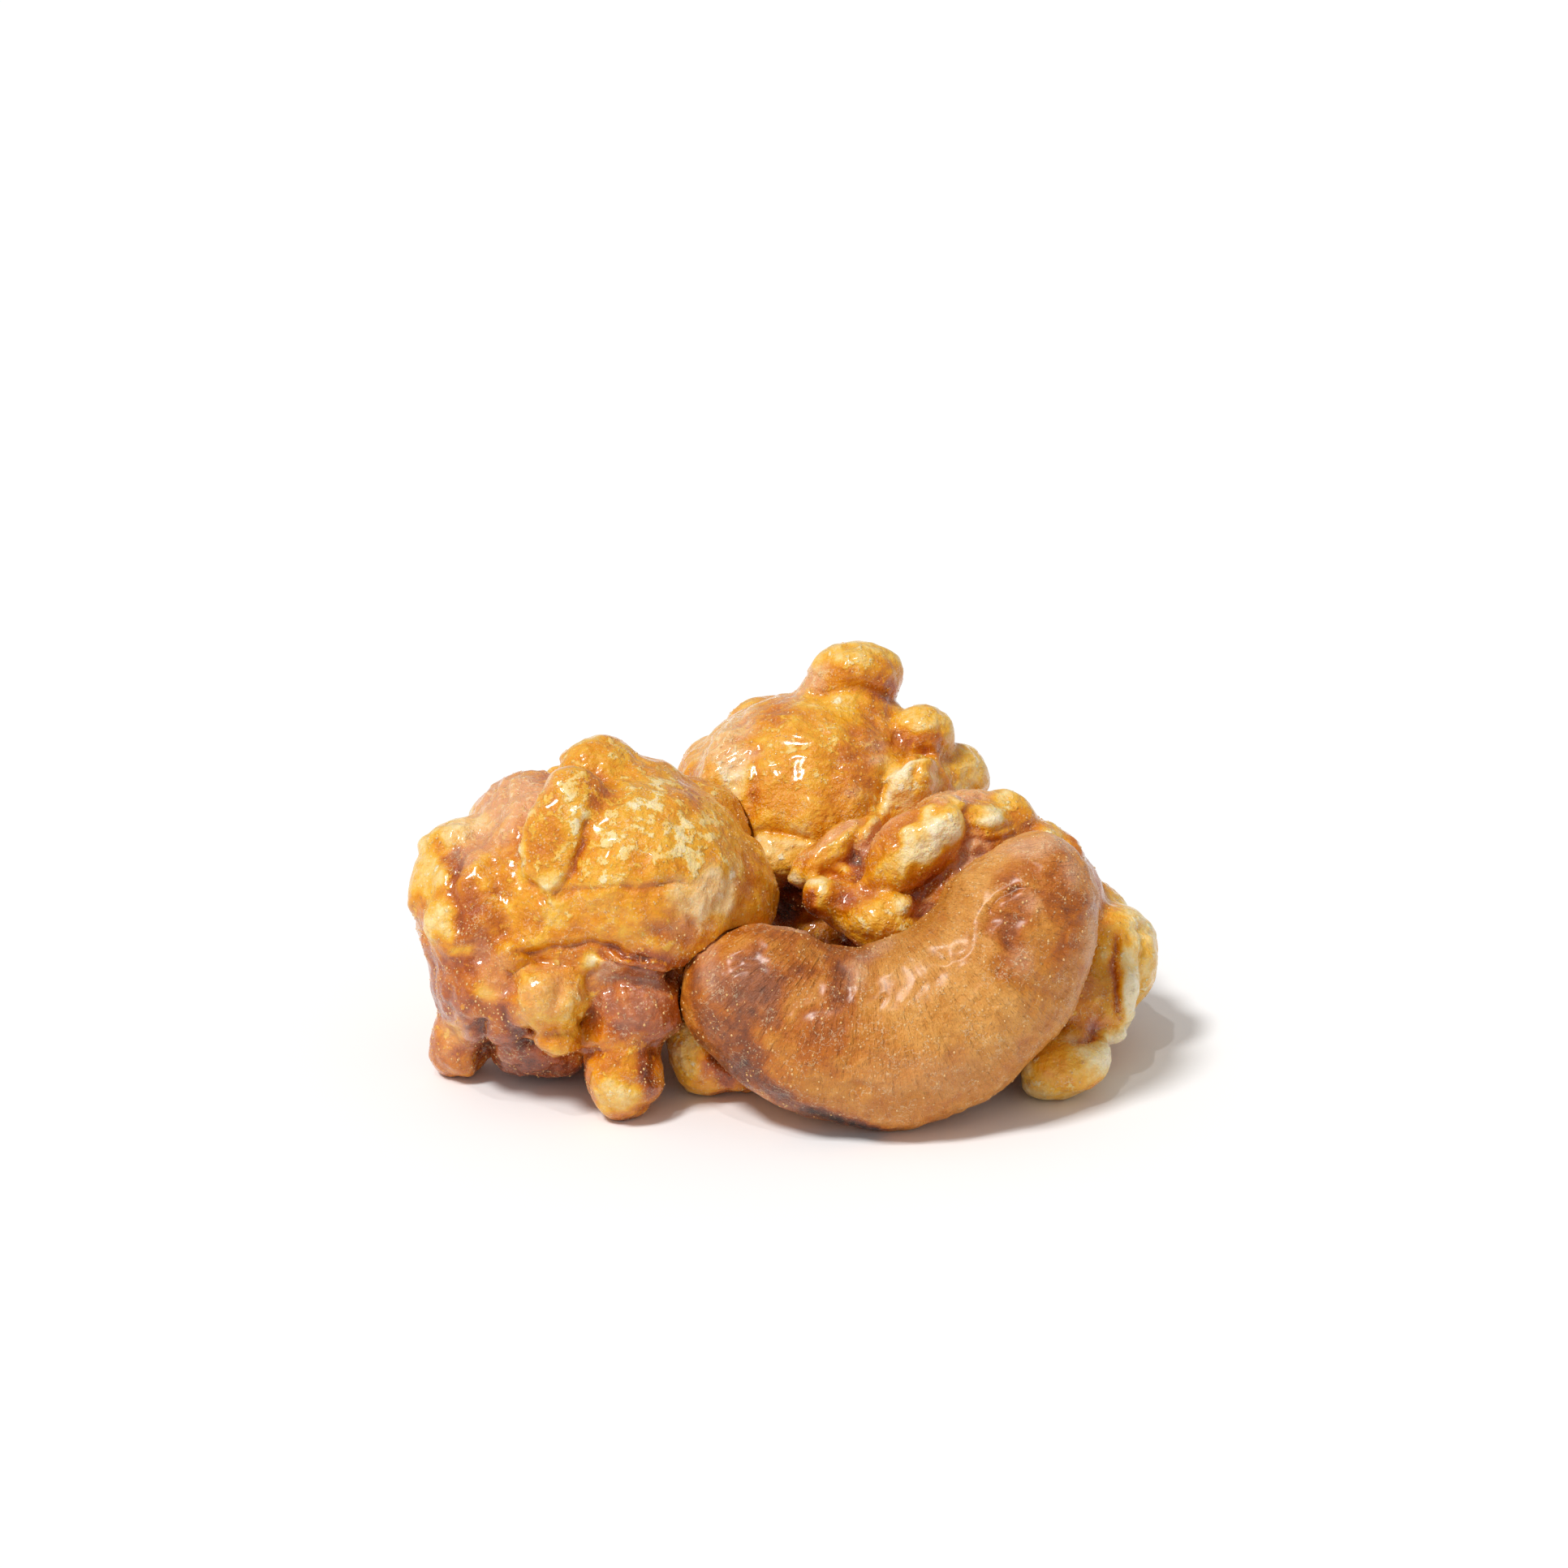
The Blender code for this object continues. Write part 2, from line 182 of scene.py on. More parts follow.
# Each mark on the side that is seen: its name, its middle (right, up), its half sizes, its
# roll, and how much. A coat mark gives the caramel's thickness there, and a few coat marks
# put painted shade or a painted highlight into it; a sheen mark gives a painted pinkish sheen,
# glint or rim highlight; a flakes mark how mottled it is, and a bump mark a height.
LEFT_MARKS = {
    "flakes": [
        ("dome", (3.4, 5.0), (6.2, 4.0), 0, 0.85),
        ("dome_low", (2.6, 0.0), (6.5, 1.6), 0, 0.1),
        ("flap", (-2.7, 5.0), (2.2, 4.4), 12, 0.8),
        ("flap_top_flake", (-1.3, 7.6), (1.1, 1.0), 0, 1.5),
        ("flap_side_flake", (-3.6, 6.0), (0.7, 1.2), 15, 1.3),
        ("flap_edge_flake", (-1.1, 4.8), (0.6, 1.6), 10, 1.4),
        ("crescent_flake", (4.2, 7.4), (0.8, 1.7), 30, 1.5),
        ("crescent_end_flake", (2.7, 6.4), (1.4, 0.6), -10, 1.4),
        ("middle_flake", (2.6, 4.7), (1.7, 0.8), -15, 1.4),
        ("right_flake", (6.1, 3.9), (1.6, 1.5), 0, 1.6),
        ("edge_flake", (7.3, 5.6), (0.9, 1.3), -30, 1.4),
        ("low_flake", (0.8, 2.2), (1.4, 0.8), 0, 1.4),
        ("far_flake", (9.4, 2.3), (0.8, 0.7), 0, 1.4),
    ],
    "coat": [
        ("peak", (0.5, 9.6), (1.8, 1.0), 0, 0.40),
        ("peak_edge", (-0.9, 10.9), (1.2, 0.5), -20, 0.20),
        ("dome_upper_amber", (0.1, 7.8), (0.9, 1.6), 10, 0.62),
        ("dome_side_gold", (5.8, 7.2), (1.4, 1.2), 30, 0.56),
        ("flap_gold", (-3.0, 4.9), (0.9, 2.0), 12, 0.58),
        ("flap_corner", (-2.9, 1.5), (1.1, 0.7), -20, 0.18),
        ("flap_left_edge", (-4.6, 3.0), (0.4, 1.4), 8, 0.22),
        ("flap_fold", (-0.7, 3.8), (0.35, 2.3), 22, 0.62),
        ("band", (-2.3, -0.3), (1.4, 1.0), 0, 0.24),
        ("dome_low_gold", (2.6, 0.1), (4.0, 1.2), 0, 0.44),
        ("cheek", (7.6, 0.6), (2.5, 1.5), -35, 0.22),
        ("cheek_amber", (10.0, 1.3), (0.7, 1.7), 0, 0.54),
        ("dome_low_amber", (5.2, -1.5), (2.6, 1.0), 5, 0.52),
        ("under_dome", (4.3, -3.4), (3.0, 0.6), 3, 0.74),
        ("lip", (0.8, -2.9), (2.2, 0.5), 8, 0.64),
        ("shoulder", (-6.2, 6.9), (3.2, 2.2), -35, 0.50),
        ("left_knob", (-9.0, 4.9), (1.9, 0.9), -28, 0.16),
        ("left_drip", (-10.5, 3.9), (0.6, 0.9), 0, 0.50),
        ("left_column", (-10.9, 2.1), (0.9, 1.9), 0, 0.20),
        ("teardrop", (-9.9, -1.0), (1.0, 1.3), 0, 0.20),
        ("left_pocket", (-9.0, 2.6), (0.8, 1.2), 0, 0.72),
        ("yellow_bump", (-7.0, 2.0), (1.3, 0.9), -20, 0.46),
        ("pale_spot_upper", (-5.5, -0.1), (1.5, 1.1), 0, 0.42),
        ("yellow_bump_low", (-3.7, -1.9), (1.2, 0.9), 0, 0.40),
        ("left_amber", (-8.4, 0.0), (0.9, 2.0), 0, 0.64),
        ("amber_gloss", (-9.0, -4.0), (1.6, 2.0), 0, 0.70),
        ("pale_spot_left", (-8.4, -2.9), (0.9, 0.4), 0, 0.28),
        ("tan_middle", (-6.7, -4.5), (1.1, 2.0), 0, 0.58),
        ("pale_spot_middle", (-7.0, -5.6), (0.8, 0.6), 0, 0.24),
        ("brow", (-4.8, -3.3), (1.2, 0.9), 0, 0.56),
        ("facet", (-2.7, -5.5), (2.3, 1.9), 0, 0.42),
        # A painted highlight at the facet's tip.
        ("facet_tip_painted_highlight", (-0.1, -3.4), (0.5, 0.6), 0, 0.14),
        ("brown_lobe", (2.6, -6.1), (2.6, 1.6), 0, 0.76),
        ("lobe_top", (4.5, -4.8), (1.4, 0.6), 0, 0.78),
        ("red_spot", (0.6, -8.0), (0.9, 0.5), 0, 0.66),
        ("small_knob", (-3.1, -8.5), (1.3, 0.8), 0, 0.56),
        ("small_knob_side", (-1.3, -8.9), (0.9, 0.6), 0, 0.55),
        ("dark_fold", (-5.1, -8.0), (0.6, 2.0), -20, 0.86),
        ("foot_front", (2.5, -9.8), (1.1, 1.4), 0, 0.54),
        ("foot_sole", (1.3, -12.4), (1.2, 1.2), 0, 0.26),
        ("foot_side", (3.5, -10.7), (0.6, 1.9), 0, 0.82),
        ("foot_inner", (0.1, -10.6), (0.7, 1.2), 0, 0.46),
        ("left_foot", (-9.7, -8.5), (0.8, 1.0), 0, 0.38),
        # Painted shade along the bottom.
        ("underside_painted_shade", (-4.0, -11.0), (3.4, 0.9), 0, 0.84),
    ],
    # Painted sheen: pinkish sheen, glints and rim highlights painted into the colour.
    "painted_sheen": [
        ("cheek", (7.6, 0.6), (2.5, 1.5), -35, 0.95),
        ("shoulder", (-6.2, 6.9), (3.2, 2.2), -35, 1.1),
        ("left_frost", (-7.7, 3.5), (1.5, 1.0), 0, 0.7),
        ("tan_middle", (-6.7, -4.5), (1.1, 2.0), 0, 0.4),
        ("facet", (-2.9, -5.6), (1.9, 1.6), 0, 0.45),
        ("wet_fold", (0.8, -4.2), (0.7, 0.5), 0, 1.0),
        ("brown_lobe", (2.6, -6.1), (2.6, 1.6), 0, 0.35),
        ("left_foot", (-9.4, -8.6), (1.3, 1.4), 0, 0.5),
    ],
    "bump": [
        ("yellow_bump", (-7.0, 2.0), (1.4, 1.0), -20, 0.30),
        ("pale_spot_upper", (-5.5, -0.1), (1.5, 1.2), 0, 0.25),
        ("yellow_bump_low", (-3.7, -1.9), (1.2, 0.9), 0, 0.30),
        ("brow", (-4.8, -3.3), (1.2, 0.9), 0, 0.25),
    ],
}
BACK_MARKS = {
    "flakes": [
        ("core", (-0.8, 3.2), (4.6, 3.6), 0, 0.7),
        ("low_smooth", (-1.2, -0.6), (3.2, 1.6), 0, 0.1),
        ("left_flakes", (-6.4, 2.0), (1.8, 2.6), 0, 0.8),
        ("spot_flake", (0.2, 4.0), (1.5, 0.6), 0, 1.3),
        ("low_flake", (-0.4, 1.3), (1.4, 0.9), 0, 1.2),
    ],
    "coat": [
        ("knob_top", (2.0, 10.4), (2.8, 1.1), 0, 0.24),
        ("knob_band", (2.4, 8.6), (2.7, 1.0), 8, 0.58),
        ("knob_corner", (4.1, 7.8), (1.2, 0.6), 20, 0.68),
        ("neck_pale", (0.5, 6.9), (2.5, 0.7), 0, 0.27),
        ("upper_orange", (-2.7, 5.9), (1.1, 0.7), 0, 0.54),
        ("slope", (-7.2, 4.3), (2.4, 2.2), -40, 0.30),
        ("stripe_top", (-4.9, 4.6), (0.9, 1.2), 0, 0.46),
        ("stripe", (-4.8, 1.6), (0.5, 2.4), -3, 0.54),
        ("left_pale", (-6.3, 1.3), (0.9, 1.4), 0, 0.20),
        ("left_low", (-5.4, -1.0), (1.2, 0.8), 0, 0.48),
        ("middle", (-1.2, 3.5), (2.6, 1.9), 0, 0.40),
        ("low_gold", (-1.3, -0.4), (2.8, 1.3), 0, 0.42),
        ("amber_patch", (3.4, 4.2), (2.3, 1.3), 0, 0.60),
        ("shoulder_fold", (6.8, 4.0), (1.8, 0.7), 5, 0.66),
        ("amber_fall", (2.4, 1.9), (1.2, 1.9), 5, 0.60),
        ("shoulder_knob", (6.9, 5.7), (2.0, 0.9), 8, 0.25),
        ("side_amber", (7.9, 2.6), (0.5, 1.7), -25, 0.56),
        ("ear", (10.1, 1.8), (1.3, 1.6), 0, 0.20),
        ("pale_lobe", (5.4, 0.9), (1.2, 2.2), 30, 0.13),
        ("pale_lobe_side", (7.0, 1.2), (0.8, 1.6), 25, 0.34),
        ("petal", (-3.1, -2.7), (2.1, 0.9), 0, 0.19),
        # Painted shade in the gap under the petal, between the kernels.
        ("under_petal_painted_shade", (-2.2, -6.9), (1.8, 1.6), 0, 0.90),
    ],
    # Painted sheen: pinkish sheen and glints painted into the colour.
    "painted_sheen": [
        ("neck", (-1.6, 8.0), (2.0, 0.8), -25, 1.0),
        ("slope", (-7.0, 4.4), (2.6, 2.4), -40, 1.0),
        ("amber_glint", (3.8, 2.6), (0.8, 0.35), -10, 1.0),
        ("upper_glint", (3.6, 3.7), (0.9, 0.3), 0, 0.7),
        ("low_glint", (1.8, 0.3), (0.5, 0.3), 0, 0.9),
    ],
}
RIGHT_MARKS = {
    "flakes": [
        ("petal", (-5.3, 4.0), (3.2, 1.4), -48, 0.3),
        ("bay_lobe", (-8.0, -0.9), (2.2, 1.5), 0, 0.9),
    ],
    "coat": [
        ("petal", (-5.3, 4.0), (3.1, 1.3), -48, 0.13),
        ("petal_end", (-8.0, 2.3), (0.9, 1.2), -30, 0.30),
        ("petal_under", (-5.8, 1.9), (1.9, 0.5), -35, 0.50),
        ("petal_groove", (-6.9, 5.0), (3.2, 0.3), -46, 0.54),
        ("petal_side", (-2.6, 4.8), (0.5, 1.7), 15, 0.54),
        ("left_petal", (-10.1, 4.3), (2.4, 0.7), -38, 0.34),
        ("left_petal_low", (-12.4, 2.4), (1.2, 0.5), -35, 0.48),
        ("left_petal_hollow", (-10.2, 2.9), (1.2, 0.5), -30, 0.74),
        ("left_tip", (-13.9, 1.6), (0.9, 0.5), 0, 0.08),
        ("small_knob", (-12.3, 0.9), (0.9, 0.9), 0, 0.20),
        ("knob_side", (-11.0, 0.2), (0.8, 1.1), 0, 0.68),
        # Painted glint: the small raised knob is painted pale cream.
        ("tiny_knob", (-10.8, 2.2), (0.4, 0.4), 0, 0.15),
        ("stem", (-9.4, 1.2), (1.6, 0.5), -10, 0.56),
        ("bay_lobe", (-8.0, -0.9), (2.0, 1.3), 0, 0.38),
        ("bay_stripe", (-7.2, -0.4), (0.3, 1.1), 0, 0.22),
        ("pocket", (-6.1, 0.2), (0.4, 0.9), 0, 0.72),
        ("recess", (-4.4, 0.7), (1.4, 1.0), -40, 0.62),
        ("crown", (-0.8, 5.9), (1.4, 1.0), 0, 0.14),
        ("crown_lines", (-0.8, 4.6), (1.5, 0.4), 10, 0.48),
        ("crown_fold", (1.5, 4.9), (1.6, 0.9), 20, 0.56),
        ("crown_edge", (3.6, 4.3), (1.2, 0.7), 35, 0.24),
        ("upper_side", (7.6, -0.8), (1.2, 0.9), 30, 0.36),
        ("upper_rim", (8.9, -1.1), (0.7, 1.4), -30, 0.20),
        ("curl", (7.5, -2.5), (0.8, 0.8), 0, 0.46),
        ("rib", (8.4, -6.2), (0.9, 2.9), 6, 0.05),
        ("outer_rib", (10.0, -3.9), (0.5, 2.3), 0, 0.24),
        ("rib_groove", (7.3, -5.0), (0.35, 2.5), 0, 0.68),
        ("thigh_fold", (5.6, -8.3), (1.1, 0.6), -35, 0.62),
        ("foot_orange", (3.7, -10.2), (1.8, 1.1), 0, 0.34),
        ("foot", (6.8, -9.7), (1.7, 0.9), -38, 0.04),
        ("foot_sole", (4.3, -12.0), (1.7, 0.7), 0, 0.33),
        ("foot_edge", (6.5, -11.9), (1.8, 0.4), -15, 0.50),
        ("low_lobe", (-21.3, -9.4), (1.1, 2.0), 0, 0.28),
        ("low_tan", (-20.2, -11.8), (1.4, 0.8), 0, 0.42),
        ("low_fold", (-19.9, -8.8), (0.5, 1.6), 0, 0.55),
        # Painted shade low on the lobe, behind the cashew's end, and in the deep gap between the
        # kernels.
        ("low_painted_shade", (-18.6, -11.3), (1.1, 1.4), 0, 0.84),
        ("gap_painted_shade", (-14.0, -0.2), (1.4, 1.6), 0, 0.92),
    ],
    # Painted sheen: pinkish sheen, glints and ridge highlights painted into the colour.
    "painted_sheen": [
        ("petal_ridge", (-8.0, 5.2), (3.0, 0.5), -47, 0.9),
        ("top_ridge", (-3.4, 7.2), (2.9, 0.5), -6, 0.9),
        ("left_petal_edge", (-11.4, 4.5), (2.6, 0.3), -38, 0.8),
        ("sheen", (-2.1, 3.1), (0.9, 1.5), 35, 1.0),
        ("recess_glint", (-5.2, -0.4), (0.5, 0.4), 0, 1.0),
        ("thigh_glint", (4.5, -8.8), (0.6, 0.5), 0, 0.9),
    ],
    "bump": [
        ("tiny_knob", (-10.8, 2.2), (0.5, 0.5), 0, 0.45),
    ],
}
CASHEW_MARKS = {
    "coat": [
        ("middle", (4.0, 1.4), (4.6, 3.8), 0, 0.30),
        ("lower_middle", (1.5, -2.6), (5.0, 1.8), 0, 0.46),
        ("arm_inner", (5.6, 8.6), (1.1, 4.0), 35, 0.32),
        ("arm_window", (8.2, 6.8), (1.2, 3.4), 8, 0.72),
        ("arm_low_window", (8.3, 4.6), (1.0, 1.2), 0, 0.60),
        ("arm_right", (11.9, 7.0), (1.9, 3.2), 0, 0.66),
        ("arm_gap", (10.1, 6.2), (0.7, 2.4), 0, 0.44),
        ("arm_low", (11.8, 3.0), (1.6, 1.4), 0, 0.46),
        ("arm_top", (10.6, 10.8), (1.9, 1.3), 0, 0.60),
        ("right_low", (9.6, -1.4), (2.4, 1.0), -45, 0.50),
        ("streak", (-3.0, 3.4), (0.9, 2.8), 0, 0.76),
        ("left_top", (-5.6, 6.6), (3.2, 0.9), 0, 0.68),
        ("notch_side", (-1.9, 5.6), (1.3, 0.7), 30, 0.66),
        ("orange_low", (-4.4, -1.0), (1.8, 1.8), 0, 0.66),
        ("left_end", (-9.2, 2.0), (3.2, 3.6), 0, 0.78),
        ("lower_left", (-10.2, -1.2), (2.0, 2.0), 30, 0.80),
        # Painted shade along the bottom edge, darkest at the very bottom.
        ("under_left_painted_shade", (-7.4, -3.6), (4.0, 0.8), 25, 0.84),
        ("underside_painted_shade", (-2.7, -6.1), (3.9, 0.7), 10, 1.0),
    ],
    # Painted sheen: pinkish sheen, glints and rim highlights painted into the colour.
    "painted_sheen": [
        ("streak_glint", (-1.9, 4.0), (0.6, 0.9), 0, 0.9),
        ("left_end", (-9.2, 1.8), (2.2, 2.4), 0, 0.2),
        ("left_rim", (-6.8, 7.2), (3.6, 0.6), 6, 0.9),
        ("left_side_rim", (-11.2, 4.4), (0.6, 2.4), 0, 0.7),
        ("notch_rim", (-0.6, 5.4), (1.6, 0.35), -30, 0.7),
        ("arm_rim", (10.2, 12.2), (2.6, 0.6), -8, 0.9),
        ("arm_side_rim", (13.4, 7.4), (0.4, 3.4), 0, 0.5),
        ("low_speckle", (1.8, -2.6), (4.2, 1.2), 0, 0.22),
        ("arm_glint", (9.5, 8.4), (0.6, 0.5), 0, 0.8),
        ("tip_glint", (12.2, 10.4), (0.6, 0.8), 0, 0.9),
        ("low_glint", (8.7, 4.7), (0.8, 0.8), 0, 0.6),
    ],
    "bump": [
        ("tip_bump", (12.2, 10.4), (1.2, 1.2), 0, 0.22),
        ("arm_ring", (10.4, 11.0), (1.0, 0.8), 0, 0.12),
        ("arm_bump", (9.5, 8.4), (1.0, 0.8), 0, 0.14),
        ("arm_low_bump", (8.8, 4.6), (1.0, 1.0), 0, 0.12),
        ("left_top_bump", (-7.6, 6.0), (3.0, 1.8), 0, 0.45),
        ("streak_bump", (-1.9, 4.0), (0.8, 1.3), 0, 0.28),
        ("arm_hollow", (7.6, 6.4), (1.5, 2.6), 5, -0.18),
        ("low_bump", (-1.0, -2.9), (3.2, 1.5), 0, 0.30),
        ("lower_right_hollow", (6.2, -2.6), (1.6, 1.0), -20, -0.20),
    ],
}

# Each crease: its name, the points (right, up) it runs through, how wide and deep it is, and
# how far the side to its left, looking along it, stands up over it.
LEFT_CREASES = [
    ("flap_inner", ((-2.4, 0.8), (-1.3, 2.4), (-0.5, 4.3), (-0.4, 5.6)), 0.3, 0.32, 0.2),
    ("flap_outer", ((-2.6, 9.2), (-4.3, 6.6), (-5.2, 3.8), (-4.7, 2.0), (-3.0, 0.6)), 0.45, 0.35, 0.35),
    ("dome_ledge", ((-1.6, 1.2), (1.0, 1.4), (3.5, 1.3), (6.0, 1.6)), 0.25, 0.18, 0.2),
    ("lip", ((-5.0, -3.0), (-2.6, -2.6), (0.0, -2.1), (1.8, -2.7), (3.6, -3.6)), 0.3, 0.3, 0.2),
    ("under_lip", ((0.4, -3.0), (2.4, -4.1), (5.8, -4.4)), 0.4, 0.4, 0.2),
    ("facet_left", ((-5.4, -4.3), (-5.2, -6.2), (-4.0, -8.1)), 0.25, 0.25, 0.1),
    ("facet_right", ((-1.0, -7.2), (-0.4, -5.4), (0.0, -4.0)), 0.25, 0.2, 0.1),
    ("left_column", ((-8.8, 3.8), (-9.2, 1.2), (-8.8, -1.2)), 0.4, 0.28, 0.0),
    ("left_foot", ((-7.6, -7.6), (-7.2, -9.4), (-7.6, -11.0)), 0.45, 0.6, 0.0),
    ("under_knob", ((-4.6, -9.0), (-2.2, -9.8), (0.2, -9.4)), 0.3, 0.4, 0.25),
]
BACK_CREASES = [
    ("neck", ((-0.6, 7.4), (2.5, 7.5), (5.0, 7.0)), 0.45, 0.3, 0.2),
    ("stripe", ((-4.3, 5.0), (-4.5, 2.0), (-4.9, -1.1)), 0.4, 0.15, 0.0),
    ("pale_lobe", ((7.0, 3.1), (5.3, 2.8), (4.1, 1.6), (3.9, -0.4)), 0.35, 0.45, 0.35),
    ("pale_fold", ((6.4, 2.4), (5.9, 0.6)), 0.3, 0.25, 0.0),
    ("ear", ((8.2, 3.8), (8.9, 1.4)), 0.35, 0.35, 0.0),
    ("petal", ((-1.2, -2.6), (-3.1, -2.1), (-5.0, -2.4)), 0.3, 0.35, 0.25),
    ("shoulder", ((4.9, 4.8), (6.6, 4.5), (8.4, 4.9)), 0.4, 0.12, 0.1),
]
RIGHT_CREASES = [
    ("petal_groove", ((-9.0, 2.4), (-8.0, 3.9), (-6.5, 5.3), (-4.6, 6.1)), 0.3, 0.2, 0.0),
    ("petal_edge", ((-9.2, 5.9), (-10.1, 3.6), (-9.9, 1.8)), 0.35, 0.35, 0.2),
    ("petal_right", ((-3.2, 1.8), (-2.5, 4.2), (-2.6, 6.0)), 0.35, 0.25, 0.2),
    ("crown_upper", ((-2.2, 5.0), (-0.8, 4.9), (0.6, 5.2)), 0.2, 0.2, 0.0),
    ("crown_lower", ((-2.0, 4.2), (-0.6, 4.1), (0.8, 4.6)), 0.2, 0.2, 0.0),
    ("recess", ((-6.2, -0.5), (-4.3, -0.9), (-2.6, 1.2)), 0.5, 0.5, 0.2),
    ("inner_rib", ((7.4, -2.4), (7.2, -4.9), (7.4, -7.6)), 0.3, 0.4, 0.0),
    ("outer_rib", ((9.3, -1.7), (9.5, -4.4), (9.1, -7.0)), 0.3, 0.35, 0.0),
    ("foot_top", ((4.6, -8.7), (6.4, -8.4), (8.4, -8.4)), 0.35, 0.45, 0.0),
    ("low_lobe", ((-20.3, -6.8), (-20.1, -8.6), (-19.2, -10.2), (-17.9, -10.8)), 0.4, 0.45, 0.25),
]
CASHEW_CREASES = [
    ("rim", ((14.2, 5.0), (13.7, 2.3), (12.0, -0.2), (9.7, -2.7)), 0.2, 0.2, 0.2),
    ("arm_fold", ((6.8, 8.2), (7.4, 8.9), (8.9, 9.3), (10.3, 9.0)), 0.25, 0.12, 0.14),
    ("notch_fold", ((-4.6, 6.6), (-2.6, 6.2), (-1.0, 5.6)), 0.3, 0.2, 0.15),
    ("left_rim", ((-11.6, 5.2), (-10.2, 6.6), (-7.4, 7.4)), 0.2, 0.15, 0.12),
]

KERNELS = {
    "popcorn_left": Kernel(
        (-12.6, -4.8, 11.2), LOOK_TILT, LEFT_LOBES, (11, 12, 4.4),
        LEFT_MARKS, LEFT_CREASES, ("cashew",), "golden_caramel", 3,
    ),
    "popcorn_right": Kernel(
        (14.5, -1.5, 10.0), LOOK_TILT, RIGHT_LOBES, (8, 10, 3.8),
        RIGHT_MARKS, RIGHT_CREASES, ("cashew", "popcorn_left"), "amber_caramel", 4,
    ),
    "popcorn_back": Kernel(
        (2.5, 9.2, 13.0), LOOK_TILT, BACK_LOBES, (5, 11, 4.2),
        BACK_MARKS, BACK_CREASES, ("popcorn_left", "popcorn_right"), "golden_caramel", 6,
    ),
}
CASHEW_CENTRE = (6.3, -13.7, 5.72)
CASHEW_ARC_CENTRE = (-1.1, 10.3)
CASHEW_SEED = 9

CASHEW_COAT = 0.46
CASHEW_BEADS = 0.55

# Where a mark starts and is full, as shares of its size, how a bump falls off, and how
# flaky the coat is outside the marks.
MARK_EDGE = (1.4, 0.6)
BUMP_FALL = 1.5
BASE_FLAKES = 0.35

# Marks are laid where the skin faces the viewer and lies near enough: from none to all.
FACING_VIEWER = (-0.25, 0.1)
NEAR_VIEWER = (7.0, 3.0)

# How many times the marks are evened out, which melts their edges.
MARK_MELTING = 6
CASHEW_MELTING = 14

# How far the marks' edges wander, and how the bulges are warped: size and amount.
EDGE_WANDER = (1.6, 0.9)
CASHEW_WANDER = (1.8, 0.9)
BULGE_WARP = (5.0, 1.2)

# How round the ridges of the bulges and of the small blisters on them are, the level that
# both are measured from, and the blisters' size and height as shares of the bulges'.
BULGE_ROUNDING = 0.12
BLISTER_ROUNDING = 0.15
BULGE_LEVEL = 0.30
BLISTER_SIZE = 0.4
BLISTER_HEIGHT = 0.25
BLISTER_SHIFT = 40.0

# Bulges are flatter where the coat is flaky, and fine relief is stronger where a sheen is painted.
BULGE_RANGE = (1.15, 0.5)
RELIEF_RANGE = (0.6, 0.6)

# Fine relief: size and height of the wrinkles and of the crumbs between them.
WRINKLES = (1.3, 0.30)
WRINKLE_LEVEL = 0.16
CRUMBS = (0.75, 0.07)

# The cashew's lumps, large and small: their sizes, and the small ones' share of the height.
CASHEW_LUMPS = (4.2, 1.5)
SMALL_LUMPS = 0.35
CASHEW_WRINKLES = (1.6, 0.17)

# The crescent's points around and along it, how often it is evened, and how much finer the
# coat's lines are across it than along it.
CASHEW_AROUND = 121
CASHEW_ALONG = 161
CASHEW_SOFTENING = 4
FLOW_TURN = 9.0

# How often the skin is evened to find its creases and its folds, and how deep they are.
CREASE_STEPS = 8
CREASE_DEPTH = 0.08
FOLD_STEPS = 50
FOLD_DEPTH = 0.40
HOLLOW_RANGE = (-1.5, 2.5)

# How far a drawn crease sways with the push, and how wide the flap beside it is.
CREASE_SWAY = 0.35
FLAP_WIDTH = 1.2

# How far a lobe's caramel spreads past it, how far it is looked for, and from what size on
# a lobe is made of more faces.
COAT_SPREAD = 0.5
COAT_REACH = 12.0
LARGE_LOBE = 6.0

# Beads start a little above the table. Bare popped corn holds few of them.
BEADS_ABOVE_TABLE = (0.4, 1.5)
BEADS_ON_COAT = (0.2, 0.6)


def skin_name(node):
    return node + "_skin"


def seen(red, green, blue):
    """A colour as it is seen, in 0 to 255, turned to the linear one that shaders take."""
    shares = (red / 255.0, green / 255.0, blue / 255.0)
    return (*(((share + 0.055) / 1.055) ** 2.4 for share in shares), 1.0)


# Caramel from bare popped corn to a dark pool: how thick it is, and its colour.
CORN_COAT = (
    (0.00, seen(254, 236, 196)),
    (0.12, seen(250, 216, 142)),
    (0.27, seen(243, 182, 50)),
    (0.42, seen(234, 152, 6)),
    (0.56, seen(212, 120, 2)),
    (0.70, seen(180, 84, 4)),
    (0.84, seen(132, 56, 8)),
    (0.94, seen(86, 34, 8)),
    (1.00, seen(48, 18, 6)),
)
NUT_COAT = (
    (0.00, seen(246, 198, 134)),
    (0.25, seen(232, 164, 80)),
    (0.45, seen(212, 134, 44)),
    (0.62, seen(190, 102, 16)),
    (0.78, seen(146, 70, 14)),
    (0.90, seen(98, 44, 12)),
    (1.00, seen(44, 18, 8)),
)
# Tint of the painted sheen.
PAINTED_SHEEN_TINT = seen(240, 194, 164)
# Pale tint of the coat's own specks and of its painted glints and highlights.
PALE_SPECK_AND_HIGHLIGHT = seen(255, 232, 188)


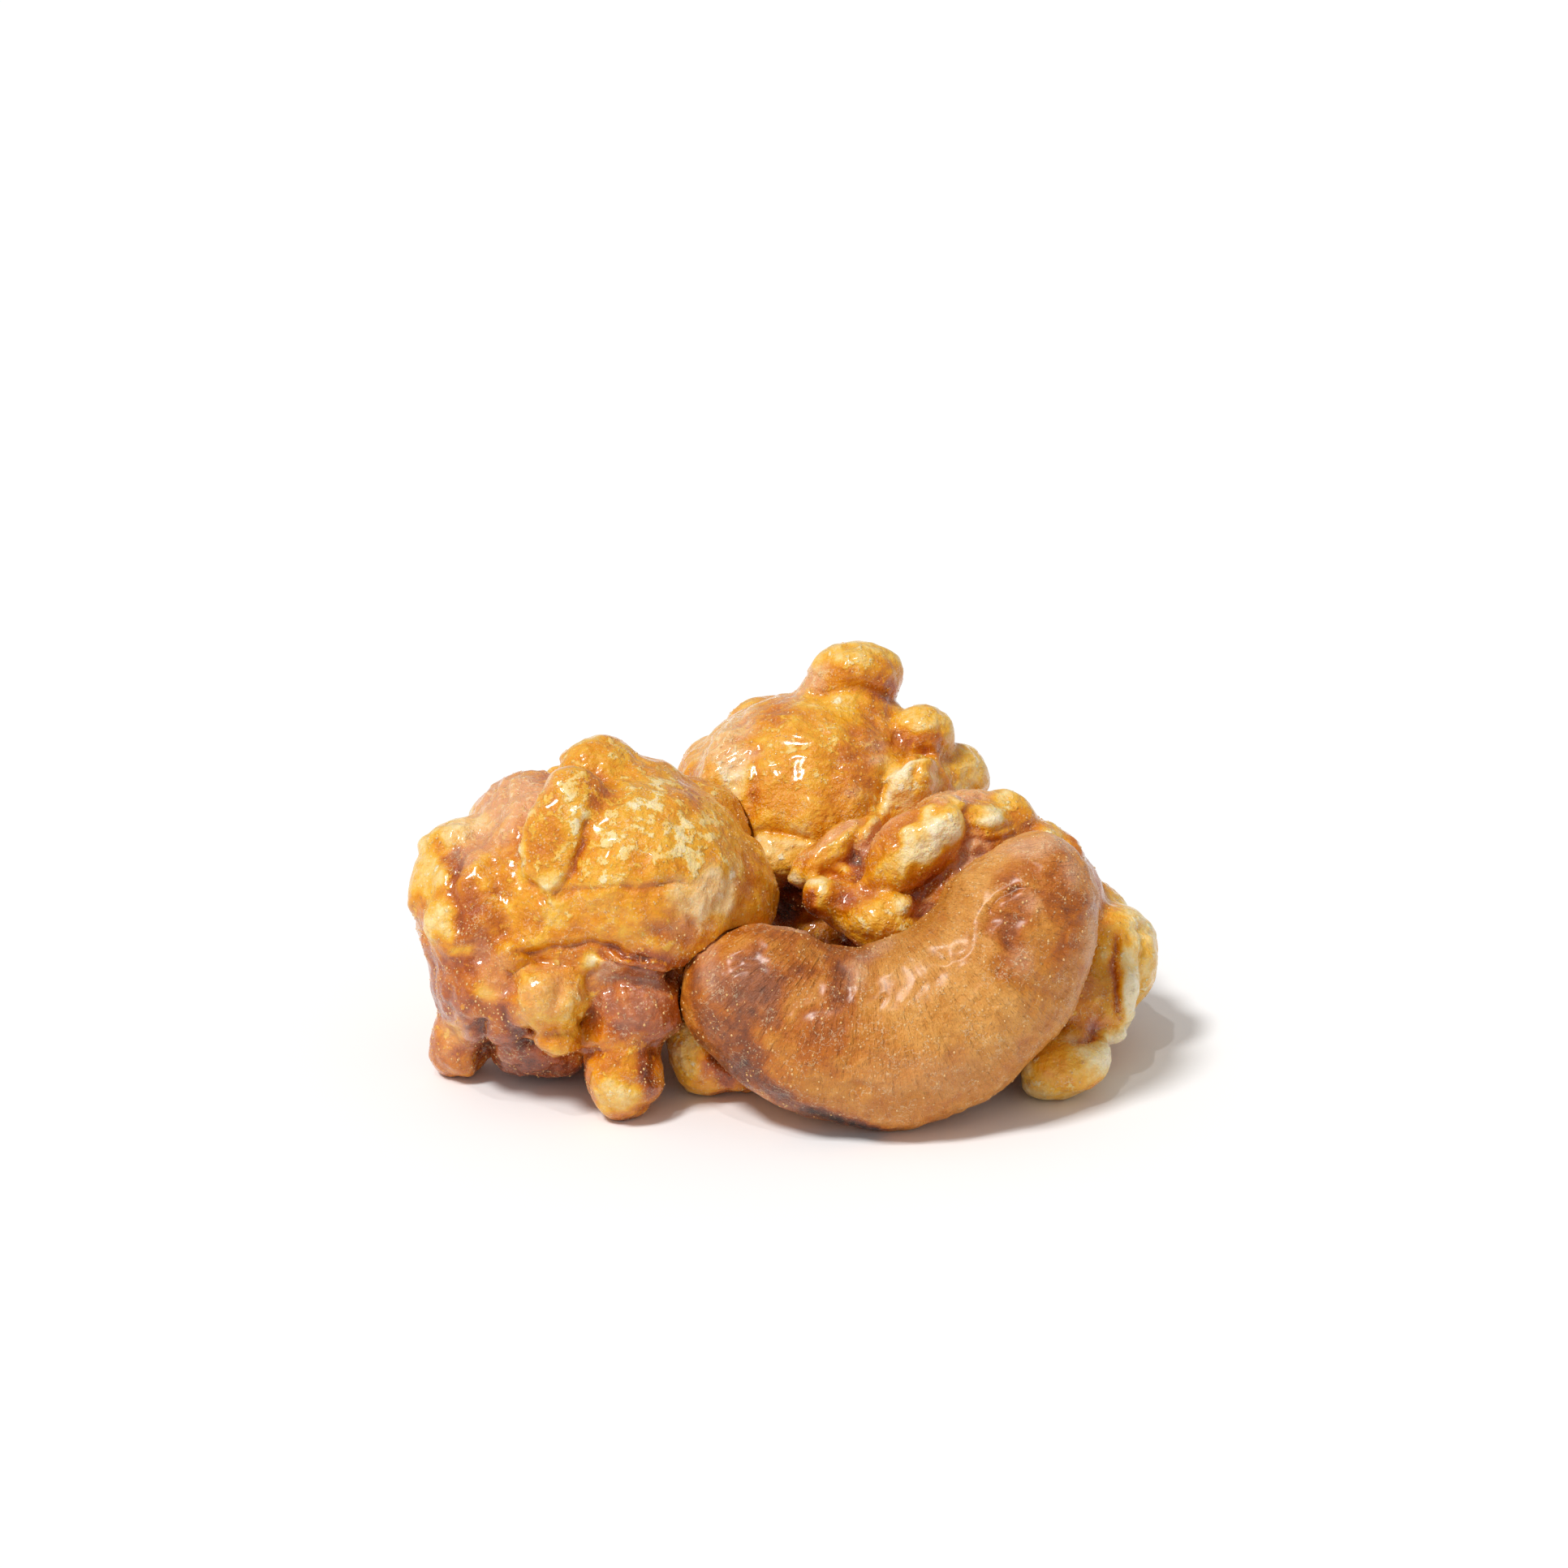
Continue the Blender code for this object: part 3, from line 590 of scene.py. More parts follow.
class Noise:
    """Smooth lattice noise, about -1 to 1, the same on each run."""

    def __init__(self, seed):
        draw = np.random.RandomState(seed)
        self.order = np.tile(draw.permutation(256), 3)
        slopes = draw.normal(size=(256, 3))
        self.slopes = slopes / np.linalg.norm(slopes, axis=1, keepdims=True)

    def __call__(self, points, size):
        scaled = points / size
        cell = np.floor(scaled).astype(int)
        part = scaled - cell
        fade = part ** 3 * (part * (part * 6.0 - 15.0) + 10.0)
        total = np.zeros(len(points))
        for corner in itertools.product((0, 1), repeat=3):
            key = np.zeros(len(points), int)
            for axis in range(3):
                key = self.order[key + ((cell[:, axis] + corner[axis]) & 255)]
            weight = np.prod(np.where(corner, fade, 1.0 - fade), axis=1)
            total += weight * np.einsum("ij,ij->i", self.slopes[key], part - corner)
        return total * 1.6

    def shifted(self, points, size):
        """Three values at once, to push points about."""
        return np.stack([self(points + 17.3 * step, size) for step in (1, 2, 3)], axis=1)


def ease(values, low, high):
    """0 at low, 1 at high, and smooth between them. low may be the greater."""
    share = np.clip((values - low) / (high - low), 0.0, 1.0)
    return share * share * (3.0 - 2.0 * share)


class Skin:
    """A mesh's points in millimetres, with what is needed to even them out and push them."""

    def __init__(self, mesh):
        self.mesh = mesh
        self.count = len(mesh.vertices)
        flat = np.empty(self.count * 3, np.float32)
        mesh.vertices.foreach_get("co", flat)
        self.points = flat.reshape(-1, 3).astype(float) / MM
        ends = np.empty(len(mesh.edges) * 2, np.int32)
        mesh.edges.foreach_get("vertices", ends)
        self.starts, self.ends = ends.reshape(-1, 2).T
        self.degree = np.maximum(np.bincount(ends, minlength=self.count), 1)

    def mean(self, values):
        """Each point's value as the mean of its neighbours'."""
        if values.ndim == 2:
            return np.stack([self.mean(column) for column in values.T], axis=1)
        total = np.bincount(self.starts, values[self.ends], self.count)
        total += np.bincount(self.ends, values[self.starts], self.count)
        return total / self.degree

    def evened(self, values, steps):
        for _ in range(steps):
            values = 0.5 * values + 0.5 * self.mean(values)
        return values

    def normals(self):
        self.store()
        flat = np.empty(self.count * 3, np.float32)
        self.mesh.vertex_normals.foreach_get("vector", flat)
        return flat.reshape(-1, 3).astype(float)

    def store(self):
        self.mesh.vertices.foreach_set("co", (self.points * MM).astype(np.float32).ravel())
        self.mesh.update()

    def keep(self, name, values):
        """Stores a number or a vector at each point, for the coat to read."""
        kind, field = ("FLOAT_VECTOR", "vector") if values.ndim == 2 else ("FLOAT", "value")
        layer = self.mesh.attributes.new(name, kind, "POINT")
        layer.data.foreach_set(field, values.astype(np.float32).ravel())


def rolled(right, up, roll):
    """A place turned back by the roll, so that its lobe or mark lies straight."""
    turn = math.radians(roll)
    return right * math.cos(turn) - up * math.sin(turn), right * math.sin(turn) + up * math.cos(turn)


def rear_lobes(core, seed, count, most_size):
    """The kernel's far side, which bulges evenly spread but uneven lobes off its core."""
    middle, half = core[1], core[2]
    draw = random.Random(seed)
    coats = random.Random(seed + 100)
    lobes = []
    for index in range(count):
        away = REAR_STARTS + (1.0 - REAR_STARTS) * (index + 0.5) / count
        ring = math.sqrt(1.0 - away * away)
        angle = index * GOLDEN_ANGLE + draw.uniform(-REAR_WANDER, REAR_WANDER)
        facing = (ring * math.cos(angle), away, ring * math.sin(angle))
        size = most_size * draw.uniform(REAR_SMALLEST, 1.0)
        reach = 1.0 - REAR_SUNK * size / half[1]
        centre = tuple(m + f * h * reach for m, f, h in zip(middle, facing, half))
        sizes = (size, size * draw.uniform(*REAR_SQUEEZE), size * draw.uniform(*REAR_SQUEEZE))
        roll = draw.uniform(-REAR_ROLL, REAR_ROLL)
        lobes.append((f"rear_{index}", centre, sizes, roll, coats.uniform(*REAR_COATS)))
    return lobes


def ball_mesh(name, lobes):
    """One mesh that holds every lobe as a fine ball, still overlapping each other."""
    shape = bmesh.new()
    for _, centre, sizes, roll, _ in lobes:
        turn = Euler((0.0, math.radians(roll), 0.0)).to_matrix().to_4x4()
        stretch = Matrix.Diagonal((*(size * MM for size in sizes), 1.0))
        place = Matrix.Translation(Vector(centre) * MM) @ turn @ stretch
        fineness = 5 if max(sizes) > LARGE_LOBE else 4
        bmesh.ops.create_icosphere(shape, subdivisions=fineness, radius=1.0, matrix=place)
    mesh = bpy.data.meshes.new(name)
    shape.to_mesh(mesh)
    shape.free()
    return mesh


def carrier_for(mesh):
    """An object that only carries a mesh through its modifiers."""
    carrier = bpy.data.objects.new("carrier", mesh)
    bpy.context.scene.collection.objects.link(carrier)
    return carrier


def baked(carrier):
    """The carrier's mesh with its modifiers in it. The carrier itself goes."""
    bpy.context.view_layer.update()
    shown = carrier.evaluated_get(bpy.context.evaluated_depsgraph_get())
    mesh = bpy.data.meshes.new_from_object(shown)
    bpy.data.objects.remove(carrier, do_unlink=True)
    return mesh


def fine_skin(mesh, grain):
    """One even skin round everything in the mesh, with faces as small as the grain."""
    carrier = carrier_for(mesh)
    wrap = carrier.modifiers.new("fine_skin", "REMESH")
    wrap.mode = "VOXEL"
    wrap.voxel_size = grain * MM
    return baked(carrier)


def lobe_coats(points, lobes):
    """How thick each point's caramel is, from the lobes that it lies on or near."""
    total = np.zeros(len(points))
    weights = np.zeros(len(points))
    for _, centre, sizes, roll, coat in lobes:
        away = points - np.array(centre)
        right, up = rolled(away[:, 0], away[:, 2], roll)
        reach = np.stack([right / sizes[0], away[:, 1] / sizes[1], up / sizes[2]], axis=1)
        distance = (np.linalg.norm(reach, axis=1) - 1.0) * min(sizes)
        weight = np.exp(-np.clip(distance, 0.0, COAT_REACH) / COAT_SPREAD)
        total += weight * coat
        weights += weight
    return total / weights


def mark_reach(points, mark, push):
    """0 in the middle of a mark and 1 at its edge, which the push makes uneven."""
    _, (middle_right, middle_up), (half_width, half_height), roll, _ = mark
    least = min(half_width, half_height)
    right = points[:, 0] - middle_right + push[:, 0] * least
    up = points[:, 2] - middle_up + push[:, 2] * least
    across, along = rolled(right, up, roll)
    return np.hypot(across / half_width, along / half_height)


def line_distance(points, line):
    """How far each point is from a line, seen from the front, and whether to its left."""
    place = points[:, (0, 2)]
    nearest = np.full(len(points), 1e9)
    side = np.zeros(len(points))
    for start, end in zip(line[:-1], line[1:]):
        start, run = np.array(start), np.array(end) - np.array(start)
        share = np.clip((place - start) @ run / (run @ run), 0.0, 1.0)
        gap = place - start - share[:, None] * run
        distance = np.linalg.norm(gap, axis=1)
        closer = distance < nearest
        nearest = np.where(closer, distance, nearest)
        turn = run[0] * gap[:, 1] - run[1] * gap[:, 0]
        side = np.where(closer, turn > 0.0, side)
    return nearest, side


def crease_height(points, crease, push):
    """A groove along the crease, with the flap beside it standing up."""
    _, line, width, depth, lip = crease
    swayed = points + push * CREASE_SWAY
    distance, left = line_distance(swayed, line)
    groove = depth * np.exp(-(distance / width) ** 2)
    flap = lip * left * np.exp(-distance / FLAP_WIDTH) * ease(distance, 0.0, width)
    return flap - groove


def seen_share(points, normals):
    """1 on the side that is looked at, fading to 0 at its edges."""
    return ease(-normals[:, 1], *FACING_VIEWER) * ease(points[:, 1], *NEAR_VIEWER)


def to_world(points, centre, tilt):
    turn = np.array(Euler((math.radians(-tilt), 0.0, 0.0)).to_matrix())
    return points @ turn.T + np.array(centre)


def press(skin, neighbour):
    """Moves the points that come too near a neighbour out to the touching gap."""
    tree = BVHTree.FromObject(neighbour, bpy.context.evaluated_depsgraph_get())
    corner_low = np.array(neighbour.bound_box).min(axis=0) / MM - PRESS_MARGIN
    corner_high = np.array(neighbour.bound_box).max(axis=0) / MM + PRESS_MARGIN
    near = np.all((skin.points > corner_low) & (skin.points < corner_high), axis=1)
    moved = np.zeros(skin.count)
    for index in np.flatnonzero(near):
        point = skin.points[index]
        place, normal, _, _ = tree.find_nearest(Vector(point) * MM)
        surface, out = np.array(place) / MM, np.array(normal)
        depth = TOUCH_GAP - (point - surface) @ out
        if depth > 0.0 and np.linalg.norm(point - surface) < PRESS_REACH:
            skin.points[index] = surface + out * TOUCH_GAP
            moved[index] = 1.0
    return moved


def hollows(skin, normals):
    """How deep each point lies in a fine crease and in a broad fold. Humps are negative."""
    fine = skin.evened(skin.points, CREASE_STEPS)
    broad = skin.evened(fine, FOLD_STEPS)
    near = np.einsum("ij,ij->i", fine - skin.points, normals)
    far = np.einsum("ij,ij->i", broad - skin.points, normals)
    return near / CREASE_DEPTH, far / FOLD_DEPTH


def add_piece(name, mesh, material, nodes):
    """Puts a finished mesh in the scene on the body and hides the parts that it stands for."""
    mesh.materials.clear()
    mesh.materials.append(material)
    mesh.shade_smooth()
    piece = bpy.data.objects.new(name, mesh)
    bpy.context.scene.collection.objects.link(piece)
    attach(piece, BODY)
    if nodes:
        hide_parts(*nodes)
    return piece


class Wire:
    """A node's output, so that node maths is written as an expression."""

    def __init__(self, tree, node, socket):
        self.tree = tree
        self.node = node
        self.socket = socket

    def other(self, output):
        return Wire(self.tree, self.node, self.node.outputs[output])

    def maths(self, operation, *values):
        return self.tree.add("ShaderNodeMath", dict(enumerate(values)), operation=operation)

    def of(self, operation):
        """A function of this value alone, such as its sine."""
        return self.maths(operation, self)

    def __add__(self, value):
        return self.maths("ADD", self, value)

    def __radd__(self, value):
        return self.maths("ADD", value, self)

    def __sub__(self, value):
        return self.maths("SUBTRACT", self, value)

    def __rsub__(self, value):
        return self.maths("SUBTRACT", value, self)

    def __mul__(self, value):
        return self.maths("MULTIPLY", self, value)

    def __rmul__(self, value):
        return self.maths("MULTIPLY", value, self)

    def __truediv__(self, value):
        return self.maths("DIVIDE", self, value)

    def held(self):
        return self.tree.add("ShaderNodeClamp", {"Value": self})

    def eased(self, low, high):
        """0 at low, 1 at high, and smooth between them."""
        ends = {"Value": self, "From Min": low, "From Max": high}
        return self.tree.add("ShaderNodeMapRange", ends, interpolation_type="SMOOTHSTEP")


class Tree:
    """Adds nodes to a shader or geometry tree, with their settings, values and links."""

    def __init__(self, tree):
        self.tree = tree

    def add(self, kind, values=None, output=0, stops=None, **settings):
        node = self.tree.nodes.new(kind)
        for name, setting in settings.items():
            setattr(node, name, setting)
        if stops:
            self.fill_ramp(node.color_ramp, stops)
        for key, value in (values or {}).items():
            self.plug(node.inputs[key], value)
        return Wire(self, node, node.outputs[output] if node.outputs else None)

    def plug(self, socket, value):
        if isinstance(value, Wire):
            self.tree.links.new(value.socket, socket)
        else:
            socket.default_value = value

    @staticmethod
    def fill_ramp(ramp, stops):
        while len(ramp.elements) < len(stops):
            ramp.elements.new(1.0)
        for element, (place, colour) in zip(ramp.elements, stops):
            element.position = place
            element.color = colour

    def mix(self, share, first, second):
        """From the first colour to the second."""
        values = {0: share, 6: first, 7: second}
        return self.add("ShaderNodeMix", values, 2, data_type="RGBA")

    def attribute(self, name, output="Fac"):
        return self.add("ShaderNodeAttribute", output=output, attribute_name=name)


class CoatShader(Tree):
    """A material whose nodes read the place on the object and the skin's attributes."""

    def __init__(self, name):
        self.material = bpy.data.materials.new(name)
        self.material.use_nodes = True
        super().__init__(self.material.node_tree)
        self.tree.nodes.clear()
        self.place = self.add("ShaderNodeTexCoord", output="Object")

    def noise(self, size, detail=2.0, roughness=0.5):
        """Cloudy noise from 0 to 1 whose lumps are about the size, in millimetres."""
        values = {
            "Vector": self.place,
            "Scale": 1.0 / (size * MM),
            "Detail": detail,
            "Roughness": roughness,
        }
        return self.add("ShaderNodeTexNoise", values)

    def cells(self, size):
        """How far the middle of the nearest cell is, with cells of the size in millimetres."""
        values = {"Vector": self.place, "Scale": 1.0 / (size * MM)}
        return self.add("ShaderNodeTexVoronoi", values, "Distance")

    def bump(self, height, millimetres, under=None):
        values = {"Height": height, "Strength": 1.0, "Distance": millimetres * MM}
        if under:
            values["Normal"] = under
        return self.add("ShaderNodeBump", values)

    def close(self, colour, roughness, coat, normal, **fixed):
        """The Principled shader, with what doesn't vary set on its own sockets."""
        values = {
            "Base Color": colour,
            "Roughness": roughness,
            "Coat Weight": coat,
            "Normal": normal,
            **fixed,
        }
        shader = self.add("ShaderNodeBsdfPrincipled", values)
        self.add("ShaderNodeOutputMaterial", {"Surface": shader})
        return self.material


def glints(coat):
    """Tiny raised beads and short hairline wrinkles, in clusters, which are also painted pale into the
    colour as glints. 1 where they are highest.
    """
    clusters = coat.noise(1.7, 2.0, 0.5).eased(0.44, 0.60)
    large = 1.0 - coat.cells(0.55).eased(0.06, 0.20)
    small = 1.0 - coat.cells(0.26).eased(0.10, 0.32)
    flowing = coat.noise(0.9, 3.0, 0.6) - 0.5
    hairline = 1.0 - flowing.of("ABSOLUTE").eased(0.003, 0.020)
    gathered = coat.noise(1.9, 1.0, 0.5).eased(0.48, 0.58)
    dots = large * (0.3 + 0.7 * clusters) + 0.8 * small * clusters
    return (dots + 0.8 * hairline * gathered).held()


def finish_coat(coat, colour, thickness, roughness, folds, gloss, **fixed):
    """The painted sheen, the grain, the glints both raised and painted pale, and the painted highlights
    on the humps, that every coat shares, and the shader.
    """
    # Glints raised in the bump and painted pale into the colour.
    raised_and_painted_glints = glints(coat)
    grain = coat.noise(0.16, 3.0, 0.65)
    crumbs = coat.noise(0.42, 3.0, 0.6)
    painted_sheen = coat.attribute("painted_sheen")
    # Humps painted paler, mottled: a painted highlight along the ridges.
    ridge = (0.0 - coat.attribute("near_hollow")).eased(0.7, 1.5) * crumbs.eased(0.46, 0.56)
    # Pale specks where the sheen is painted and on the ridges: painted glints and rim highlights.
    painted_sparkle = (0.05 + painted_sheen) * crumbs.eased(0.54, 0.64) + 0.7 * ridge
    # The coat's own pale grain specks, with the painted glints and highlights over them.
    pale_specks_and_highlights = (0.60 * raised_and_painted_glints + 0.50 * painted_sparkle + 0.7 * (grain - 0.60)).held()
    darker = coat.mix((0.8 * (0.43 - crumbs)).held(), colour, seen(150, 70, 4))
    # A pinkish sheen painted into the colour.
    with_painted_sheen = coat.mix(painted_sheen * 0.42, darker, PAINTED_SHEEN_TINT)
    # The pale specks and the painted glints and highlights mixed into the colour.
    lighter = coat.mix(pale_specks_and_highlights * 0.8, with_painted_sheen, PALE_SPECK_AND_HIGHLIGHT)
    crusty = coat.bump(crumbs, 0.21, folds)
    raised = coat.bump(raised_and_painted_glints, 0.012, crusty)
    grainy = coat.bump(grain, 0.030, raised)
    fixed = {
        "Subsurface Radius": (1.0, 0.42, 0.1),
        "Subsurface Scale": 0.8 * MM,
        "IOR": 1.42,
        "Specular IOR Level": 0.4,
        "Coat IOR": 1.5,
        **fixed,
    }
    return coat.close(lighter, roughness, gloss, grainy, **fixed)


def corn_caramel(name, settings):
    """Popped corn under caramel that is thin on the bulges and pooled in the creases."""
    coat = CoatShader(name)
    near, far = coat.attribute("near_hollow"), coat.attribute("far_hollow")
    patches = coat.noise(2.4, 3.0, 0.55) - 0.5
    mottle = coat.noise(0.8, 4.0, 0.62) - 0.5
    share = 0.42 * coat.attribute("flakes") + 3.4 * mottle + 0.2 * patches
    pale = share.eased(0.34, 0.88)
    thickness = coat.attribute("coat") + 0.06 * near + 0.08 * far
    thickness = thickness + 0.48 * patches + 0.50 * mottle
    thickness = (thickness - 0.34 * pale + settings.coat_shift).held()
    colour = coat.add("ShaderNodeValToRGB", {"Fac": thickness}, stops=CORN_COAT)
    roughness = 0.38 - 0.18 * thickness + 0.10 * pale
    folds = coat.bump(coat.noise(1.0, 2.0, 0.5), 0.20)
    ragged = coat.bump(pale, 0.06, folds)
    gloss = 0.45 + 0.5 * thickness
    fixed = {"Subsurface Weight": 0.22, "Coat Roughness": 0.11}
    return finish_coat(coat, colour, thickness, roughness, ragged, gloss, **fixed)


def nut_caramel(name, settings):
    """The cashew's satin coat, with fine wrinkles across it and tiny specks."""
    coat = CoatShader(name)
    near, far = coat.attribute("near_hollow"), coat.attribute("far_hollow")
    patches = coat.noise(2.8, 3.0, 0.55) - 0.5
    mottle = coat.noise(0.8, 4.0, 0.6) - 0.5
    lines = coat.attribute("flow", "Vector")
    across = coat.add(
        "ShaderNodeVectorMath", {0: lines, 1: (3.4, 0.5, 0.5)}, operation="MULTIPLY"
    )
    wrinkles = coat.add(
        "ShaderNodeTexNoise", {"Vector": across, "Scale": 1.0, "Detail": 4.0, "Roughness": 0.6}
    )
    combed = wrinkles - 0.5
    thickness = coat.attribute("coat") + 0.07 * near + 0.10 * far
    thickness = thickness + 0.30 * patches + 0.34 * mottle - 0.28 * combed
    thickness = (thickness + settings.coat_shift).held()
    colour = coat.add("ShaderNodeValToRGB", {"Fac": thickness}, stops=NUT_COAT)
    soft = coat.bump(coat.noise(1.3, 3.0, 0.55), 0.24)
    wrinkled = coat.bump(wrinkles, 0.38, soft)
    roughness = 0.44 - 0.14 * thickness
    gloss = 0.14 + 0.45 * thickness
    fixed = {"Subsurface Weight": 0.12, "Coat Roughness": 0.26}
    return finish_coat(coat, colour, thickness, roughness, wrinkled, gloss, **fixed)


def bead_caramel(name):
    """Clear golden caramel of the small beads that sit on the coat."""
    coat = CoatShader(name)
    cloud = coat.noise(1.0)
    colour = coat.mix(cloud, seen(244, 206, 140), seen(222, 158, 80))
    normal = coat.bump(cloud, 0.01)
    return coat.close(colour, 0.16 + 0.1 * cloud, 0.9, normal, **{"Coat Roughness": 0.05})


def floor_paint(name, colour):
    coat = CoatShader(name)
    cloud = coat.noise(FLOOR_CLOUDS)
    even = coat.mix(cloud * 0.04, colour, FLOOR_SHADE)
    normal = coat.bump(cloud, 0.01)
    return coat.close(even, 0.9 + 0.0 * cloud, 0.0, normal)


class GeometryTree(Tree):
    """A Geometry Nodes tree with named inputs, one geometry in and one out."""

    def __init__(self, name):
        self.group = bpy.data.node_groups.new(name, "GeometryNodeTree")
        super().__init__(self.group)
        self.group.interface.new_socket("Geometry", in_out="OUTPUT", socket_type="NodeSocketGeometry")
        self.idents = {}
        self.source = None

    def wants(self, kind, *names):
        for name in names:
            socket = self.group.interface.new_socket(name, in_out="INPUT", socket_type=kind)
            self.idents[name] = socket.identifier

    def given(self, name):
        if self.source is None:
            self.source = self.add("NodeGroupInput")
        return self.source.other(name)

    def finish(self, geometry, material):
        real = self.add("GeometryNodeRealizeInstances", {"Geometry": geometry})
        painted = self.add("GeometryNodeSetMaterial", {"Geometry": real, "Material": material})
        self.add("NodeGroupOutput", {0: painted})

    def build_on(self, carrier, values):
        """The mesh that the tree makes on a carrier, which goes."""
        modifier = carrier.modifiers.new(self.group.name, "NODES")
        modifier.node_group = self.group
        for name, value in values.items():
            modifier[self.idents[name]] = value
        return baked(carrier)


def cashew_tree():
    """A plump crescent: round sections along an arc, thickest at the waist."""
    tree = GeometryTree("cashew_crescent")
    tree.wants("NodeSocketGeometry", "Geometry")
    tree.wants("NodeSocketFloat", "Arc From", "Arc To", "Reach", "End Radius", "Waist Radius")
    tree.wants("NodeSocketFloat", "Depth Share", "Arc Right", "Arc Up")
    tree.wants("NodeSocketInt", "Around", "Along")
    tree.wants("NodeSocketMaterial", "Material")

    size = {0: 1.0, 1: 1.0, 2: tree.given("Along"), 3: tree.given("Around")}
    grid = tree.add("GeometryNodeMeshGrid", size)
    spot = tree.add("GeometryNodeInputPosition")
    apart = tree.add("ShaderNodeSeparateXYZ", {0: spot})
    along, around = apart.other("X") + 0.5, apart.other("Y") + 0.5

    turn_from, turn_to = tree.given("Arc From"), tree.given("Arc To")
    end, waist, reach = tree.given("End Radius"), tree.given("Waist Radius"), tree.given("Reach")
    cap = end / (reach * (turn_to - turn_from))
    spread = along * math.pi
    evened = 0.5 - 0.5 * spread.of("COSINE")
    share = evened * (1.0 + 2.0 * cap) - cap
    held = share.held()
    over = (share - held) / cap
    middle = held * math.pi
    rounding = (1.0 - over * over).held().of("SQRT")
    radius = (end + (waist - end) * middle.of("SINE")) * rounding
    turn = turn_from + (turn_to - turn_from) * share
    spin = around * (2.0 * math.pi)
    outward = reach + radius * spin.of("COSINE")
    right = tree.given("Arc Right") + outward * turn.of("COSINE")
    up = tree.given("Arc Up") + outward * turn.of("SINE")
    away = radius * tree.given("Depth Share") * spin.of("SINE")
    place = tree.add("ShaderNodeCombineXYZ", {0: right, 1: away, 2: up})
    bent = tree.add("GeometryNodeSetPosition", {"Geometry": grid, "Position": place})
    closed = tree.add("GeometryNodeMergeByDistance", {"Geometry": bent, "Distance": 0.02 * MM})
    tree.finish(closed, tree.given("Material"))
    return tree


def bead_tree():
    """Small round beads of caramel, scattered over a skin and sunk halfway into it."""
    tree = GeometryTree("caramel_beads")
    tree.wants("NodeSocketGeometry", "Geometry")
    tree.wants("NodeSocketFloat", "Density", "Radius", "Smallest")
    tree.wants("NodeSocketInt", "Seed")
    tree.wants("NodeSocketMaterial", "Material")
    share = tree.add("GeometryNodeInputNamedAttribute", {"Name": "beads"}, data_type="FLOAT")
    scattered = tree.add(
        "GeometryNodeDistributePointsOnFaces",
        {
            "Mesh": tree.given("Geometry"),
            "Density": tree.given("Density") * share,
            "Seed": tree.given("Seed"),
        },
    )
    ball = tree.add("GeometryNodeMeshIcoSphere", {"Subdivisions": 1, "Radius": 1.0})
    smooth = tree.add("GeometryNodeSetShadeSmooth", {"Geometry": ball})
    size = tree.add(
        "FunctionNodeRandomValue",
        {"Min": tree.given("Smallest"), "Max": 1.0, "Seed": tree.given("Seed")},
        "Value",
        data_type="FLOAT",
    )
    radius = tree.given("Radius") * size * size
    scale = tree.add("ShaderNodeCombineXYZ", {0: radius, 1: radius * 1.15, 2: radius * 0.7})
    placed = tree.add(
        "GeometryNodeInstanceOnPoints",
        {
            "Points": scattered,
            "Instance": smooth,
            "Rotation": scattered.other("Rotation"),
            "Scale": scale,
        },
    )
    tree.finish(placed, tree.given("Material"))
    return tree


class HeapSkinSettings(bpy.types.PropertyGroup):
    grain: FloatProperty(
        name="Grain", description="Size of the skin's faces, in millimetres",
        default=0.17, min=0.12, max=0.6,
    )
    softening: IntProperty(
        name="Softening", description="How far the creases between lobes are rounded off",
        default=26, min=0, max=60,
    )
    bulge_height: FloatProperty(
        name="Bulge Height", description="Height of the popped bulges, in millimetres",
        default=0.6, min=0.0, max=2.0,
    )
    bulge_size: FloatProperty(
        name="Bulge Size", description="Width of the popped bulges, in millimetres",
        default=3.4, min=0.5, max=8.0,
    )
    coat_shift: FloatProperty(
        name="Thicker Caramel", description="Adds caramel all over, as a share of a dark pool",
        default=0.0, min=-0.5, max=0.5,
    )


class HeapCashewSettings(bpy.types.PropertyGroup):
    arc_from: FloatProperty(
        name="Arc From", description="Where the middle line starts, turning from the right",
        default=math.radians(231.0), subtype="ANGLE",
    )
    arc_to: FloatProperty(
        name="Arc To", description="Where the middle line ends",
        default=math.radians(346.0), subtype="ANGLE",
    )
    reach: FloatProperty(
        name="Reach", description="Radius of the arc",
        default=10.3 * MM, unit="LENGTH", subtype="DISTANCE",
    )
    end_radius: FloatProperty(
        name="End Radius", description="Half the breadth of each end",
        default=5.3 * MM, unit="LENGTH", subtype="DISTANCE",
    )
    waist_radius: FloatProperty(
        name="Waist Radius", description="Half the breadth of the middle",
        default=6.2 * MM, unit="LENGTH", subtype="DISTANCE",
    )
    depth_share: FloatProperty(
        name="Depth", description="Thickness as a share of the breadth",
        default=0.86, min=0.3, max=1.5,
    )
    unevenness: FloatProperty(
        name="Unevenness", description="Height of the coat's soft lumps, in millimetres",
        default=0.30, min=0.0, max=1.0,
    )
    coat_shift: FloatProperty(
        name="Thicker Caramel", description="Adds caramel all over, as a share of a dark pool",
        default=0.0, min=-0.5, max=0.5,
    )


class HeapBeadSettings(bpy.types.PropertyGroup):
    density: FloatProperty(
        name="Beads", description="How many beads there are on each square centimetre",
        default=200.0, min=0.0, max=400.0,
    )
    radius: FloatProperty(
        name="Radius", description="Radius of the largest bead",
        default=0.10 * MM, unit="LENGTH", subtype="DISTANCE",
    )
    smallest: FloatProperty(
        name="Smallest", description="Square root of the smallest bead's share of the largest",
        default=0.5, min=0.1, max=1.0,
    )
    seed: IntProperty(name="Seed", description="Where the beads fall", default=7)


